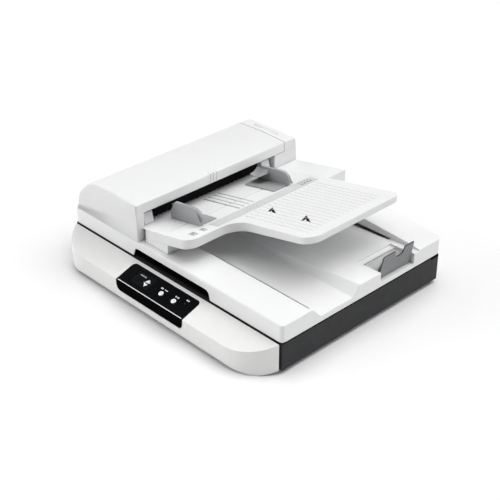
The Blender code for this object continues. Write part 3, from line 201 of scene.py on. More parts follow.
# Dark mouldings
charcoal = moulded(
    "charcoal_shell", (0.016, 0.0165, 0.018), 0.5, grain=1300.0, depth=0.00006, wear=1.2, **DULL
)
black = moulded("black_shell", (0.010, 0.010, 0.011), 0.5, grain=1300.0, depth=0.00005, wear=1.3, **DULL)
# painted shade: near black with little reflection, for recesses and seams that stand in for their shade
painted_shade_black = moulded("painted_shade_black", (0.0015, 0.0015, 0.0016), 0.7, wear=1.2, **SHADE_DULL)
# painted shade: near-black bristles that darken the feeder's mouth
brush_shade = moulded("brush_painted_shade", (0.004, 0.004, 0.0042), 0.8, grain=900.0, wear=1.3, **SHADE_DULL)

# Control panel
gloss = moulded(
    "gloss_black", (0.0035, 0.004, 0.0048), 0.25, grain=300.0, depth=0.000002, Specular_IOR_Level=0.04
)
# painted shade: the gloss black without any reflection, for the panel's front and sides, so they look darker
# than its top
panel_side_shade = moulded("panel_side_shade", (0.0035, 0.0036, 0.004), 0.4, depth=0.000004, Specular_IOR_Level=0.0)
window = moulded(
    "display_tint", (0.0085, 0.009, 0.010), 0.2, grain=200.0, depth=0.000001, Specular_IOR_Level=0.05
)
key_white = moulded("key_white", (0.90, 0.905, 0.91), 0.3, depth=0.000008)
lamp = moulded("lamp_lens", (0.045, 0.05, 0.047), 0.2, depth=0.000004)
# painted highlight along the crease of the panel's front edge
highlight_grey = moulded("painted_highlight_line", (0.80, 0.81, 0.82), 0.3, depth=0.000005, wear=1.0)

# Rubber, foam, metal, glass and the circuit board
rubber = moulded("rubber", (0.018, 0.018, 0.019), 0.8, grain=900.0, depth=0.0001, mottle=0.15, wear=1.5)
roller_rubber = moulded("roller_rubber", (0.075, 0.077, 0.082), 0.7, grain=1600.0, depth=0.00006, wear=1.4)
foam = moulded("foam_pad", (0.80, 0.80, 0.79), 0.85, grain=700.0, depth=0.00015, mottle=0.05)
steel = brushed("steel", (0.60, 0.60, 0.62), 0.3)
zinc = brushed("zinc_plate", (0.52, 0.53, 0.55), 0.38, stretch=(40.0, 40.0, 2.0))
glass = clear_glass("plate_glass", (0.86, 0.93, 0.91))
bar_glass = clear_glass("lens_glass", (0.62, 0.75, 0.73))
board_green = circuit_board("board_green")

# Printed marks
ink = moulded("ink_black", (0.006, 0.006, 0.0065), 0.6, **PRINTED, **DULL)
ink_grey = moulded("ink_grey", (0.20, 0.203, 0.207), 0.55, **PRINTED)
ink_soft = moulded("ink_soft", (0.29, 0.293, 0.297), 0.55, **PRINTED)
ink_pale = moulded("ink_pale", (0.50, 0.51, 0.52), 0.5, **PRINTED)
mark_grey = moulded("mark_grey", (0.60, 0.605, 0.61), 0.55, **PRINTED)

# Where the main surfaces lie, all in metres

FEEDER_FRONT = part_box("adf_cover")[0].y
FEEDER_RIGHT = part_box("adf_cover")[1].x

TRAY_RISE = 0.198  # height gained per metre of X
TRAY_TILT = math.atan(TRAY_RISE)
TRAY_ORIGIN = Vector((-0.086, 0.0, 0.132))
TRAY = Matrix.Translation(TRAY_ORIGIN) @ Matrix.Rotation(-TRAY_TILT, 4, "Y")

PANEL_FOOT = (-0.2480, 0.0460)  # Y and Z of the front cover's slope at its foot, under the panel
PANEL_RISE = 0.0195 / 0.0575
PANEL_TILT = math.atan(PANEL_RISE)
PANEL_THICK = 0.0015

UPRIGHT = Matrix.Rotation(math.pi / 2, 4, "X")  # carries (u, v, w) to x = u, y = -w, z = v


def along_tray(x):
    """Distance up the tray of a place at this X."""
    return (x - TRAY_ORIGIN.x) / math.cos(TRAY_TILT)


def panel_frame(x, y):
    """A frame on the control panel's sloping face, with Z pointing out of it."""
    height = PANEL_FOOT[1] + (y - PANEL_FOOT[0]) * PANEL_RISE + PANEL_THICK / math.cos(PANEL_TILT)
    return Matrix.Translation((x, y, height)) @ Matrix.Rotation(PANEL_TILT, 4, "X")


# Building blocks of the added pieces


def around(middle, half):
    return (middle - half, middle + half)


def even_row(first, pitch, count):
    return [first + pitch * step for step in range(count)]


def circle(radius, steps):
    turns = [2 * math.pi * step / steps for step in range(steps)]
    return [(radius * math.cos(turn), radius * math.sin(turn)) for turn in turns]


def add_block(bm, x, y, z, frame=Matrix()):
    """A block between two ends on each axis of the frame."""
    middle = Matrix.Translation(((x[0] + x[1]) / 2, (y[0] + y[1]) / 2, (z[0] + z[1]) / 2))
    size = Matrix.Diagonal((x[1] - x[0], y[1] - y[0], z[1] - z[0], 1.0))
    bmesh.ops.create_cube(bm, size=1.0, matrix=frame @ middle @ size)


def add_tray_block(bm, x, y, z):
    """A block on the input tray's slope: X and Y are the model's own, and Z is height above the slope."""
    add_block(bm, (along_tray(x[0]), along_tray(x[1])), y, z, TRAY)


def add_prism(bm, outline, low, high, frame=Matrix()):
    """An outline in the frame's XY plane, extruded from low to high along its Z."""
    base = bm.faces.new([bm.verts.new(frame @ Vector((u, v, low))) for u, v in outline])
    grown = bmesh.ops.extrude_face_region(bm, geom=[base])
    moved = [item for item in grown["geom"] if isinstance(item, bmesh.types.BMVert)]
    bmesh.ops.translate(bm, verts=moved, vec=frame.to_3x3() @ Vector((0.0, 0.0, high - low)))


def add_band(bm, outer, inner, low, high, frame):
    """A closed band between two outlines with the same number of points."""
    for index in range(len(outer)):
        after = (index + 1) % len(outer)
        add_prism(bm, [outer[index], outer[after], inner[after], inner[index]], low, high, frame)


def add_shell(bm, rows, thick, frame=Matrix()):
    """A curved sheet through rows of points, thickened by a vector."""
    layers = []
    for shift in (Vector((0.0, 0.0, 0.0)), Vector(thick)):
        layers.append([[bm.verts.new(frame @ (Vector(point) + shift)) for point in row] for row in rows])
    tall = len(rows) - 1
    wide = len(rows[0]) - 1
    for grid in layers:
        for i in range(tall):
            for j in range(wide):
                bm.faces.new((grid[i][j], grid[i][j + 1], grid[i + 1][j + 1], grid[i + 1][j]))
    top, low = layers
    rim = [(0, j) for j in range(wide)] + [(i, wide) for i in range(tall)]
    rim += [(tall, j) for j in range(wide, 0, -1)] + [(i, 0) for i in range(tall, 0, -1)]
    for (i, j), (k, m) in zip(rim, rim[1:] + rim[:1]):
        bm.faces.new((top[i][j], top[k][m], low[k][m], low[i][j]))


WELD = 0.000001
SHARP = math.radians(31)  # the least angle of an edge that gets rounded


def finished_mesh(name, bm):
    bmesh.ops.remove_doubles(bm, verts=bm.verts, dist=WELD)
    bmesh.ops.recalc_face_normals(bm, faces=bm.faces)
    mesh = bpy.data.meshes.new(name)
    bm.to_mesh(mesh)
    bm.free()
    obj = bpy.data.objects.new(name, mesh)
    bpy.context.scene.collection.objects.link(obj)
    return obj


def round_edges(obj, radius, segments):
    rounding = obj.modifiers.new("rounding", "BEVEL")
    rounding.width = radius
    rounding.segments = segments
    rounding.limit_method = "ANGLE"
    rounding.angle_limit = SHARP
    rounding.use_clamp_overlap = False
    rounding.harden_normals = True
    rounding.miter_outer = "MITER_ARC"


def piece(name, bm, finish, body, radius=0.2 * MM, segments=2):
    """An added piece with rounded edges that rides on a body."""
    obj = finished_mesh(name, bm)
    obj.data.materials.append(finish)
    obj.data.shade_smooth()
    round_edges(obj, radius, segments)
    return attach(obj, body)


def flat_mark(name, bm, finish, body, radius=0.03 * MM):
    """A thin piece, such as a print, with a single facet on its edges."""
    return piece(name, bm, finish, body, radius, segments=1)


def cutter(name, bm, body):
    """A hidden shape that cuts an opening in a moulding."""
    obj = finished_mesh(name, bm)
    obj.hide_render = True
    obj.display_type = "WIRE"
    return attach(obj, body)


def block_cutter(name, body, x, y, z):
    bm = bmesh.new()
    add_block(bm, x, y, z)
    return cutter(name, bm, body)


def slot_cutter(name, body, row, y, size, frame):
    """A row of slots in the frame's XY plane: size is (x, y, z) of one."""
    bm = bmesh.new()
    half = [length / 2 for length in size]
    for x in row:
        add_block(bm, around(x, half[0]), around(y, half[1]), around(0.0, half[2]), frame)
    return cutter(name, bm, body)


# Carried-over mouldings

FACET_WELD = 0.01 * MM
FLAT = math.radians(1.0)  # neighbouring facets that differ by less are one face
SOFT_SEGMENTS = 5


def refine(name, finish, radius, cutters=(), soft=None):
    """Welds a CAD solid's facets, cuts small openings in it, and rounds its edges as a mould would.

    Soft is (radius, test): edges whose ends pass the test get that wider radius first.
    """
    obj = nodes[name]
    mesh = obj.data
    custom = mesh.attributes.get("custom_normal")
    if custom:
        mesh.attributes.remove(custom)
    mesh.shade_smooth()
    mesh.materials.clear()
    mesh.materials.append(finish)
    weld = obj.modifiers.new("weld", "WELD")
    weld.merge_threshold = FACET_WELD
    for cutting in cutters:
        cut_opening(obj, cutting)
    planar = obj.modifiers.new("planar", "DECIMATE")
    planar.decimate_type = "DISSOLVE"
    planar.angle_limit = FLAT
    if soft:
        soften(obj, *soft)
    round_edges(obj, radius, segments=3)


def cut_opening(obj, cutting):
    opening = obj.modifiers.new("opening", "BOOLEAN")
    opening.operation = "DIFFERENCE"
    opening.solver = "EXACT"
    opening.object = cutting


def soften(obj, radius, test):
    group = obj.vertex_groups.new(name="soft")
    group.add([vertex.index for vertex in obj.data.vertices if test(vertex.co)], 1.0, "REPLACE")
    wide = obj.modifiers.new("soft_edges", "BEVEL")
    wide.width = radius
    wide.segments = SOFT_SEGMENTS
    wide.limit_method = "VGROUP"
    wide.vertex_group = group.name
    wide.use_clamp_overlap = False
    wide.harden_normals = True


def repaint(name, finish, test):
    """Gives the faces that pass the test another finish. The test takes a face's centre and normal."""
    mesh = nodes[name].data
    mesh.materials.append(finish)
    for face in mesh.polygons:
        if test(face.center, face.normal):
            face.material_index = len(mesh.materials) - 1


# The large mouldings and their openings

RAIL_GROOVE = ((-0.0900, 0.2890), (-0.1172, -0.1160), (0.1018, 0.1060))  # along the lid's front rail
COVER_SEAM = ((-0.31, 0.31), (-0.1928, -0.1800), (-0.0100, 0.1000))  # between the front cover and the base
FEEDER_TOP = 0.1846
FEEDER_VENT = (0.0019, 0.0058, 0.0030)
FEEDER_VENT_ROW = even_row(-0.2126, 0.0067, 13)
FEEDER_VENT_Y = 0.2235
BASE_BACK = 0.2470
BASE_VENT = (0.003, 0.022, 0.012)
BASE_VENT_ROW = even_row(0.030, 0.009, 14)
BASE_VENT_Z = 0.036
FEEDER_FOOT = 0.1050  # below it the feeder cover's front edges stay crisp
NEAR = 0.0001


def refine_lid():
    groove = block_cutter("rail_groove", "lid", *RAIL_GROOVE)
    refine("lid_cover", white, radius=1.2 * MM, cutters=[groove])


def refine_feeder():
    refine("adf_cover", white, radius=1.0 * MM, soft=(4.5 * MM, at_feeder_front))
    top = Matrix.Translation((0.0, 0.0, FEEDER_TOP))
    vents = slot_cutter("feeder_vents", "lid", FEEDER_VENT_ROW, FEEDER_VENT_Y, FEEDER_VENT, top)
    refine("adf_rear_end", white, radius=1.2 * MM, cutters=[vents])


def refine_base():
    seam = block_cutter("cover_seam", "base", *COVER_SEAM)
    refine("front_cover", warm_white, radius=0.8 * MM, cutters=[seam])
    back = Matrix.Translation((0.0, BASE_BACK, 0.0)) @ UPRIGHT
    vents = slot_cutter("base_vents", "base", BASE_VENT_ROW, BASE_VENT_Z, BASE_VENT, back)
    refine("base_pan", charcoal, radius=1.2 * MM, cutters=[vents])


def at_feeder_front(place):
    return place.y < FEEDER_FRONT + NEAR and place.z > FEEDER_FOOT


# The other CAD parts: finish, edge radius in millimetres, and names

FINISHES = (
    (white, 1.2, ("input_tray",)),
    (white, 0.8, ("rear_platform", "tray_bracket")),
    (gloss, 0.6, ("control_panel",)),
    (window, 0.25, ("display_window",)),
    (lamp, 0.2, ("status_lamp",)),
    (key_white, 0.25, ("key_scan", "key_cancel", "key_up", "key_down")),
    (white, 0.5, ("front_guard", "rear_guard")),
    (black, 0.5, ("platen_frame",)),
    (stripe_grey, 0.15, ("size_scale",)),
    (guide_grey, 0.9, ("front_guide", "rear_guide")),
    (stopper_grey, 0.5, ("exit_stopper",)),
    # painted shade: the grip pocket is near black, for the shade deep in its recess
    (painted_shade_black, 0.6, ("grip_pocket",)),
    (black, 0.5, ("adf_chassis", "power_switch", "power_inlet", "usb_socket", "scan_carriage")),
    (rubber, 0.8, ("foot_front_left", "foot_front_right", "foot_rear_left", "foot_rear_right")),
    (rubber, 0.15, ("adf_belt", "carriage_belt")),
    (roller_rubber, 0.4, ("feed_roller", "drive_roller", "exit_roller", "pickup_roller", "separation_pad")),
    (guide_grey, 0.4, ("pickup_arm",)),
    (white_rough, 0.3, ("lid_base_plate", "cover_hinge_front", "cover_hinge_rear", "guide_pinion")),
    (white_rough, 0.3, ("idler_pulley", "motor_pulley", "adf_motor_gear")),
    (steel, 0.3, ("carriage_rail", "carriage_motor", "adf_motor")),
    (zinc, 0.4, ("hinge_base_left", "hinge_base_right", "hinge_arm_left", "hinge_arm_right")),
    (foam, 0.4, ("backing_pad",)),
    (glass, 0.3, ("flatbed_glass", "adf_scan_glass")),
    (bar_glass, 0.3, ("sensor_bar",)),
    (board_green, 0.2, ("main_board",)),
)

# Rollers with a bare steel shaft, and the radius that holds only the shaft's faces
SHAFTS = (
    ("feed_roller", 0.0032),
    ("drive_roller", 0.0032),
    ("exit_roller", 0.0032),
    ("pickup_roller", 0.0016),
)
BOARD_FACE = 0.0188  # above it stand the chips
SHEET_TABLE = (-0.1510, -0.0900)  # X of the white table that the sheets slide over
TABLE_DROP = 0.0005  # of that table below the tray's slope
TABLE_SLACK = 0.0004
STEEP = 0.7  # a panel's face with more of its normal forwards or sideways is one of its sides
ASKEW = 0.5  # a paper stop's face with less of its normal along X is one of its thin edges


def refine_parts():
    for finish, radius, names in FINISHES:
        for name in names:
            refine(name, finish, radius * MM)


def repaint_parts():
    repaint("adf_chassis", white_rough, on_sheet_table)
    repaint("main_board", black, lambda place, facing: place.z > BOARD_FACE)
    # painted shade on the panel's front and sides
    repaint("control_panel", panel_side_shade, on_panel_side)
    repaint("exit_stopper", stopper_edge, lambda place, facing: abs(facing.x) < ASKEW)
    for name, radius in SHAFTS:
        repaint(name, steel, on_shaft(name, radius))


def on_sheet_table(place, facing):
    surface = TRAY_ORIGIN.z + (place.x - TRAY_ORIGIN.x) * TRAY_RISE - TABLE_DROP
    return SHEET_TABLE[0] < place.x < SHEET_TABLE[1] and abs(place.z - surface) < TABLE_SLACK


def on_panel_side(place, facing):
    return facing.y < -STEEP or abs(facing.x) > STEEP


def on_shaft(name, radius):
    """A test for the faces near a roller's axis, which runs through the middle of its box."""
    low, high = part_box(name)
    x = (low.x + high.x) / 2
    z = (low.z + high.z) / 2
    return lambda place, facing: math.hypot(place.x - x, place.z - z) < radius


refine_lid()
refine_feeder()
refine_base()
refine_parts()
repaint_parts()

# Input tray

TRAY_RIB_X = (0.043, 0.208)
TRAY_RIB_ROW = even_row(-0.036, 0.01225, 17)
TRAY_RIB_HALF = 0.0007
TRAY_RIB_Z = (-0.0004, 0.0008)
FEED_RIB_X = (-0.0990, 0.006)
FEED_RIBS = ((-0.015, 0.0024), (-0.002, 0.0016), (0.011, 0.0016), (0.0235, 0.0016))  # Y and height
FEED_RIB_ROOT = -0.0004
FEED_RIB_HALF = 0.0009

# Each printed arrow is a bent band: its apex, its left foot and its right foot
ARROWS = (
    ((0.060, 0.020), (0.067, 0.002), (0.088, 0.002)),
    ((0.148, 0.022), (0.157, -0.001), (0.180, 0.0005)),
)
ARROW_NOTCH = (0.0098, -0.0118)  # from the apex to the inner corner
LEFT_FOOT = 0.0050
RIGHT_FOOT = 0.0105
ARROW_Z = (-0.0002, 0.00065)

# The feeding edge: a strip across the tray's foot, and the block that closes its front end
SILL = ((-0.0935, -0.0857), (-0.1775, 0.1840), (-0.0014, -0.0002))
SILL_END = ((-0.1340, -0.0935), (-0.1712, -0.1617), (-0.0045, -0.0004))


def make_tray_ribs():
    ribs = bmesh.new()
    for y in TRAY_RIB_ROW:
        add_tray_block(ribs, TRAY_RIB_X, around(y, TRAY_RIB_HALF), TRAY_RIB_Z)
    # the tray's ribs, in a grey darker than the tray as painted shade
    piece("tray_ribs", ribs, rib_shade_grey, "lid", radius=0.45 * MM, segments=3)


def make_feed_ribs():
    ribs = bmesh.new()
    for y, tall in FEED_RIBS:
        add_tray_block(ribs, FEED_RIB_X, around(y, FEED_RIB_HALF), (FEED_RIB_ROOT, tall))
    # the feed ribs, in a grey darker than the tray as painted shade
    piece("feed_ribs", ribs, rib_shade_grey, "lid", radius=0.5 * MM, segments=3)


def make_tray_arrows():
    arrows = bmesh.new()
    for apex, left, right in ARROWS:
        notch = (apex[0] + ARROW_NOTCH[0], apex[1] + ARROW_NOTCH[1])
        left_inner = (left[0] + LEFT_FOOT, left[1])
        right_inner = (right[0] - RIGHT_FOOT, right[1])
        outline = [(along_tray(x), y) for x, y in (apex, left, left_inner, notch, right_inner, right)]
        add_prism(arrows, outline, *ARROW_Z, TRAY)
    piece("tray_arrows", arrows, ink, "lid", radius=0.1 * MM)


def make_feed_sill():
    sill = bmesh.new()
    add_tray_block(sill, *SILL)
    add_tray_block(sill, *SILL_END)
    piece("feed_sill", sill, white, "lid", radius=0.3 * MM)


# Marks on the tray's grey stripe and in its front corner

SCALE_Z = (0.0007, 0.00092)
TICK_ROW = even_row(-0.017, 0.0095, 6)
TICK_HALF = 0.0030
TICK_X = ((0.0170, 0.0176), (0.0270, 0.0276))
WORD_ROW = even_row(0.138, 0.0080, 4)
WORDS = (((0.0140, 0.0200), 0.0008), ((0.0235, 0.0290), 0.0020))  # X, and half the size in Y

PATCH_Z = (-0.0001, 0.0002)
PATCHES = (((0.0105, 0.0285), (-0.1545, -0.1405)), ((0.0120, 0.0290), (-0.1290, -0.1180)))  # X and Y
BAR_Z = (0.0001, 0.0004)
BAR_WIDTH = 0.0022
BARS_ALONG = (  # X, and the middle in Y
    ((0.0140, 0.0250), -0.1500),
    ((0.0140, 0.0190), -0.1465),
    ((0.0140, 0.0250), -0.1430),
    ((0.0150, 0.0250), -0.1255),
    ((0.0150, 0.0250), -0.1200),
)
BARS_ACROSS = ((0.0140, (-0.1511, -0.1419)), (0.0150, (-0.1266, -0.1189)))  # the start in X, and Y


def make_scale_marks():
    """Ticks and plain blocks along the grey stripe, where paper sizes are shown."""
    marks = bmesh.new()
    for y in TICK_ROW:
        for x in TICK_X:
            add_tray_block(marks, x, around(y, TICK_HALF), SCALE_Z)
    for y in WORD_ROW:
        for x, half in WORDS:
            add_tray_block(marks, x, around(y, half), SCALE_Z)
    flat_mark("scale_marks", marks, ink_grey, "lid", radius=0.04 * MM)


def make_corner_marks():
    """Two grey patches in the tray's front corner, each with a plain sign of bars."""
    patches = bmesh.new()
    for x, y in PATCHES:
        add_tray_block(patches, x, y, PATCH_Z)
    flat_mark("corner_patches", patches, mark_grey, "lid", radius=0.04 * MM)
    bars = bmesh.new()
    for x, y in BARS_ALONG:
        add_tray_block(bars, x, around(y, BAR_WIDTH / 2), BAR_Z)
    for x, y in BARS_ACROSS:
        add_tray_block(bars, (x, x + BAR_WIDTH), y, BAR_Z)
    flat_mark("corner_marks", bars, ink_soft, "lid", radius=0.04 * MM)


# Paper guides: places are along the tray's slope, and heights stand on it

# Lips start at a guide's inner face and flares at its outer one: the face's Y, the way out, and the top
GUIDE_LIPS = (("front_guide", -0.1105, 1, 0.0300), ("rear_guide", 0.1185, -1, 0.0275))
GUIDE_FLARES = (("front_guide", -0.1155, -1, 0.0380), ("rear_guide", 0.1235, 1, 0.0330))
SHEET = 0.0013

LIP_START = along_tray(-0.0795)
LIP_LENGTH = 0.0375
LIP_STEPS = 12
LIP_PARTS = 8
LIP_ROOT = 0.0010
LIP_REACH = (0.0195, 0.0060)  # out from the wall at the lip's start, and what it gains by its end
LIP_CORNER = 5.0  # the last fifth of the lip narrows in a round corner
LIP_RIM = 0.0165
LIP_LOWEST = 0.45  # where along the lip its rim is lowest
LIP_SWAY = 0.0120
LIP_BOW = 1.5
LIP_CURL = 2.6

FLARE_MIDDLE = 0.0765
FLARE_RADIUS = 0.0190
FLARE_FOOT = 0.0040
FLARE_DROP = 0.0100
FLARE_TURNS = (68.0, -4.0)
FLARE_STEPS = 8
FLARE_SPREAD = 0.0060
FLARE_EASE = 0.8
FLARE_LEAN = 0.4  # how far the rim leans along the tray, as a share of its spread
FLARE_DIP = 0.2


def lip_rows(wall, way, tall):
    """Points over a lip that leaves a guide's wall near its top and curls down as it reaches out."""
    rows = []
    for step in range(LIP_STEPS + 1):
        along = step / LIP_STEPS
        x = LIP_START + LIP_LENGTH * along
        corner = math.sqrt(min(1.0, LIP_CORNER * (1.0 - along)))
        reach = LIP_ROOT + (LIP_REACH[0] + LIP_REACH[1] * along) * corner
        rim = LIP_RIM + LIP_SWAY * abs(along - LIP_LOWEST) ** LIP_BOW
        row = []
        for part in range(LIP_PARTS + 1):
            out = part / LIP_PARTS
            row.append((x, wall + way * reach * out, rim + (tall - rim) * (1.0 - out) ** LIP_CURL))
        rows.append(row)
    return rows


def flare_rows(wall, way, tall):
    """Pairs of points round a guide's outer end: on the wall, and on the rim that turns away from it."""
    rows = []
    for step in range(FLARE_STEPS + 1):
        part = step / FLARE_STEPS
        turn = math.radians(FLARE_TURNS[0] + (FLARE_TURNS[1] - FLARE_TURNS[0]) * part)
        x = FLARE_MIDDLE + FLARE_RADIUS * math.cos(turn)
        z = FLARE_FOOT + (tall - FLARE_DROP) * max(0.0, math.sin(turn))
        spread = FLARE_SPREAD * part**FLARE_EASE
        rim = (x + spread * FLARE_LEAN, wall + way * spread, z - spread * FLARE_DIP)
        rows.append([(x, wall, z), rim])
    return rows


def make_guide_lips():
    for name, wall, way, tall in GUIDE_LIPS:
        lip = bmesh.new()
        add_shell(lip, lip_rows(wall, way, tall), (0.0, 0.0, -SHEET), TRAY)
        piece(name + "_lip", lip, guide_grey, name, radius=0.3 * MM)


def make_guide_flares():
    for name, wall, way, tall in GUIDE_FLARES:
        flare = bmesh.new()
        add_shell(flare, flare_rows(wall, way, tall), (-SHEET, 0.0, 0.0), TRAY)
        piece(name + "_flare", flare, guide_grey, name, radius=0.3 * MM)


# Control panel

PANEL_PRINT_Z = (-0.0002, 0.00012)
PANEL_EDGE_Y = -0.2476
PANEL_LINE_X = (-0.0890, 0.0960)
PANEL_LINE_Y = (-0.0008, 0.0008)
PANEL_LINE_Z = (-0.0003, 0.0003)
WINDOW_ROW = even_row(-0.0560, 0.0036, 5)
WINDOW_ROW_Y = -0.2160
WINDOW_SIGN = (0.0012, 0.0013)
KEY_SIGNS = (  # the row's Y, each sign's X, and half a sign's size in X and Y
    (-0.2172, (0.0060, 0.0095), (0.0012, 0.0016)),
    (-0.2172, (0.0160, 0.0190, 0.0220), (0.0010, 0.0011)),
    (-0.2172, (0.0470, 0.0510, 0.0545), (0.0011, 0.0014)),
    (-0.2120, (0.0728, 0.0772), (0.0013, 0.0014)),
)
ARROW_WEDGE = ((0.0005, 0.0047), (0.0078, -0.0027), (0.0045, -0.0027))
ARROW_SHIFT = 0.0011
RING_Y = -0.2273
RING_RADIUS = 0.0024
RING_HOLE = 0.0019
RING_Z = (0.0004, 0.00082)
RING_STEPS = 28


def add_sign(bm, x, half, frame):
    """A small block that stands for a printed word or sign."""
    add_block(bm, around(x, half[0]), around(0.0, half[1]), PANEL_PRINT_Z, frame)


def make_panel_highlight():
    """A light grey strip along the panel's front edge: a painted highlight where the crease's bevel catches
    the light.
    """
    line = bmesh.new()
    edge = panel_frame(0.0, PANEL_EDGE_Y)
    add_block(line, PANEL_LINE_X, PANEL_LINE_Y, PANEL_LINE_Z, edge)
    piece("panel_highlight_line", line, highlight_grey, "base", radius=0.1 * MM)


def make_window_marks():
    words = bmesh.new()
    for x in WINDOW_ROW:
        add_sign(words, x, WINDOW_SIGN, panel_frame(0.0, WINDOW_ROW_Y))
    flat_mark("window_marks", words, ink_pale, "base")


def make_key_signs():
    signs = bmesh.new()
    for y, row, half in KEY_SIGNS:
        for x in row:
            add_sign(signs, x, half, panel_frame(0.0, y))
    flat_mark("key_signs", signs, key_white, "base")


def make_arrow_prints():
    """A printed wedge beside each arrow key, which completes the arrow's outline."""
    prints = bmesh.new()
    for key, way in (("key_up", 1), ("key_down", -1)):
        low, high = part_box(key)
        middle = ((low.x + high.x) / 2, (low.y + high.y) / 2 - ARROW_SHIFT * way)
        outline = [(u * way, v * way) for u, v in ARROW_WEDGE]
        add_prism(prints, outline, *PANEL_PRINT_Z, panel_frame(*middle))
    flat_mark("arrow_prints", prints, key_white, "base")


def make_key_rings():
    for key in ("key_scan", "key_cancel"):
        low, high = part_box(key)
        ring = bmesh.new()
        outer = circle(RING_RADIUS, RING_STEPS)
        inner = circle(RING_HOLE, RING_STEPS)
        add_band(ring, outer, inner, *RING_Z, panel_frame((low.x + high.x) / 2, RING_Y))
        flat_mark(key + "_mark", ring, ink_pale, key)


# Sheet feeder

GRIP_FOOT = 0.1628
GRIP_BEND_Z = 0.1800
GRIP_BEND = 0.0030
GRIP_STEPS = 5
GRIP_SIDE = 3  # points of the path that count as its upright side
GRIP_END = (-0.0110, 0.1833)  # X from the feeder's right side, and Z
GRIP_PROUD = 0.0012
GRIP_DEEP = 0.0010
GRIP_ROW = (0.0010, 0.0090, 0.0170)
GRIP_HALF = 0.0016

SEAM_SHADE_RIMS = (0.992, 0.965)  # outer and inner, as shares of the cover's end outline
SEAM_SHADE_THICK = 0.0005
SEAM_SHADE_GAP = 0.00005

BRUSH_BAR = ((-0.1150, -0.1120), (-0.1405, 0.1485), (0.1570, 0.1612))
BRISTLE_X = (-0.1142, -0.1130)
BRISTLE_ROW = even_row(-0.1392, 0.0024, 120)
BRISTLE_HALF = 0.0011
BRISTLE_TIP = 0.1288
BRISTLE_ROOT = 0.1580
BRISTLE_STEP = 0.0005


def lip_path():
    """The profile of the cover's lip from its foot, round its top edge and on to the top."""
    path = [(FEEDER_RIGHT, GRIP_FOOT), (FEEDER_RIGHT, GRIP_BEND_Z)]
    for step in range(1, GRIP_STEPS + 1):
        turn = math.pi / 2 * step / GRIP_STEPS
        x = FEEDER_RIGHT - GRIP_BEND + GRIP_BEND * math.cos(turn)
        path.append((x, GRIP_BEND_Z + GRIP_BEND * math.sin(turn)))
    path.append((FEEDER_RIGHT + GRIP_END[0], GRIP_END[1]))
    return path


def moved_out(path, distance):
    """The path moved sideways, and upwards too where it has turned onto the top."""
    side, top = path[:GRIP_SIDE], path[GRIP_SIDE:]
    return [(x + distance, z) for x, z in side] + [(x + distance, z + distance) for x, z in top]


def make_lip_grips():
    """Three raised grips that wrap from the feeder cover's lip over its top edge."""
    outer = moved_out(lip_path(), GRIP_PROUD)
    inner = moved_out(lip_path(), -GRIP_DEEP)
    grips = bmesh.new()
    for y in GRIP_ROW:
        add_prism(grips, outer + inner[::-1], *around(-y, GRIP_HALF), UPRIGHT)
    piece("lip_grips", grips, white, "adf_cover", radius=0.7 * MM, segments=3)


def make_feeder_seam_shade():
    """A near-black band between the feeder's cover and its rear end: painted shade that shows as the thin
    dark line of that seam.
    """
    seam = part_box("adf_cover")[1].y
    rim = sorted({(v.co.x, v.co.z) for v in nodes["adf_cover"].data.vertices if v.co.y > seam - NEAR})
    hull = [Vector(rim[index]) for index in convex_hull_2d(rim)]
    middle = sum(hull, Vector((0.0, 0.0))) / len(hull)
    outer, inner = ([middle + (point - middle) * share for point in hull] for share in SEAM_SHADE_RIMS)
    shade_band = bmesh.new()
    add_band(shade_band, outer, inner, -seam - SEAM_SHADE_GAP - SEAM_SHADE_THICK, -seam - SEAM_SHADE_GAP, UPRIGHT)
    flat_mark("feeder_seam_shade", shade_band, painted_shade_black, "lid", radius=0.05 * MM)


def make_mouth_shade_brush():
    """A dark brush under the lip: painted shade that darkens the feeder's mouth behind the lip."""
    brush = bmesh.new()
    add_block(brush, *BRUSH_BAR)
    for step, y in enumerate(BRISTLE_ROW):
        tip = BRISTLE_TIP + BRISTLE_STEP * (step * 7 % 5)  # five lengths in a mixed order
        add_block(brush, BRISTLE_X, around(y, BRISTLE_HALF), (tip, BRISTLE_ROOT))
    flat_mark("mouth_shade_brush", brush, brush_shade, "adf_cover", radius=0.15 * MM)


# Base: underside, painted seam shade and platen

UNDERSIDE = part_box("base_pan")[0].z
SCREWS = ((-0.235, -0.150), (0.235, -0.150), (-0.235, 0.205), (0.235, 0.205), (0.0, 0.205), (0.0, -0.150))
SCREW_HEAD = 0.0033
SCREW_STEPS = 20
HEAD_Z = (0.0, 0.0006)
QUARTER = (0.0006, 0.0021)
QUARTER_Z = (0.0005, 0.0013)

PLATE = ((-0.040, 0.040), (0.020, 0.070), (0.0080, 0.0084))
PLATE_BAR_ROW = even_row(0.028, 0.008, 5)
PLATE_BAR_X = (-0.034, 0.016)
PLATE_BAR_STEP = 0.006
PLATE_BAR_WIDTH = 0.0018
PLATE_BAR_Z = (0.0079, 0.0081)

SEAM_SHADE_X = (0.2944, 0.2961)  # on the right, and mirrored on the left
SEAM_SHADE_Y = (-0.1880, 0.2340)
SEAM_SHADE_Z = (0.0640, 0.0667)

RULER_Z = (0.0654, 0.06558)
REAR_RULER_ROW = even_row(-0.200, 0.010, 43)
REAR_RULER_Y = 0.1590
LEFT_RULER_ROW = even_row(0.152, -0.010, 30)
LEFT_RULER_X = -0.2080
LONG_MARK = 0.006
SHORT_MARK = 0.0035
MARK_HALF = 0.0002
LONG_EVERY = 5
REFERENCE_STRIP = ((-0.2300, -0.2200), (-0.150, 0.156), (0.0653, 0.06565))


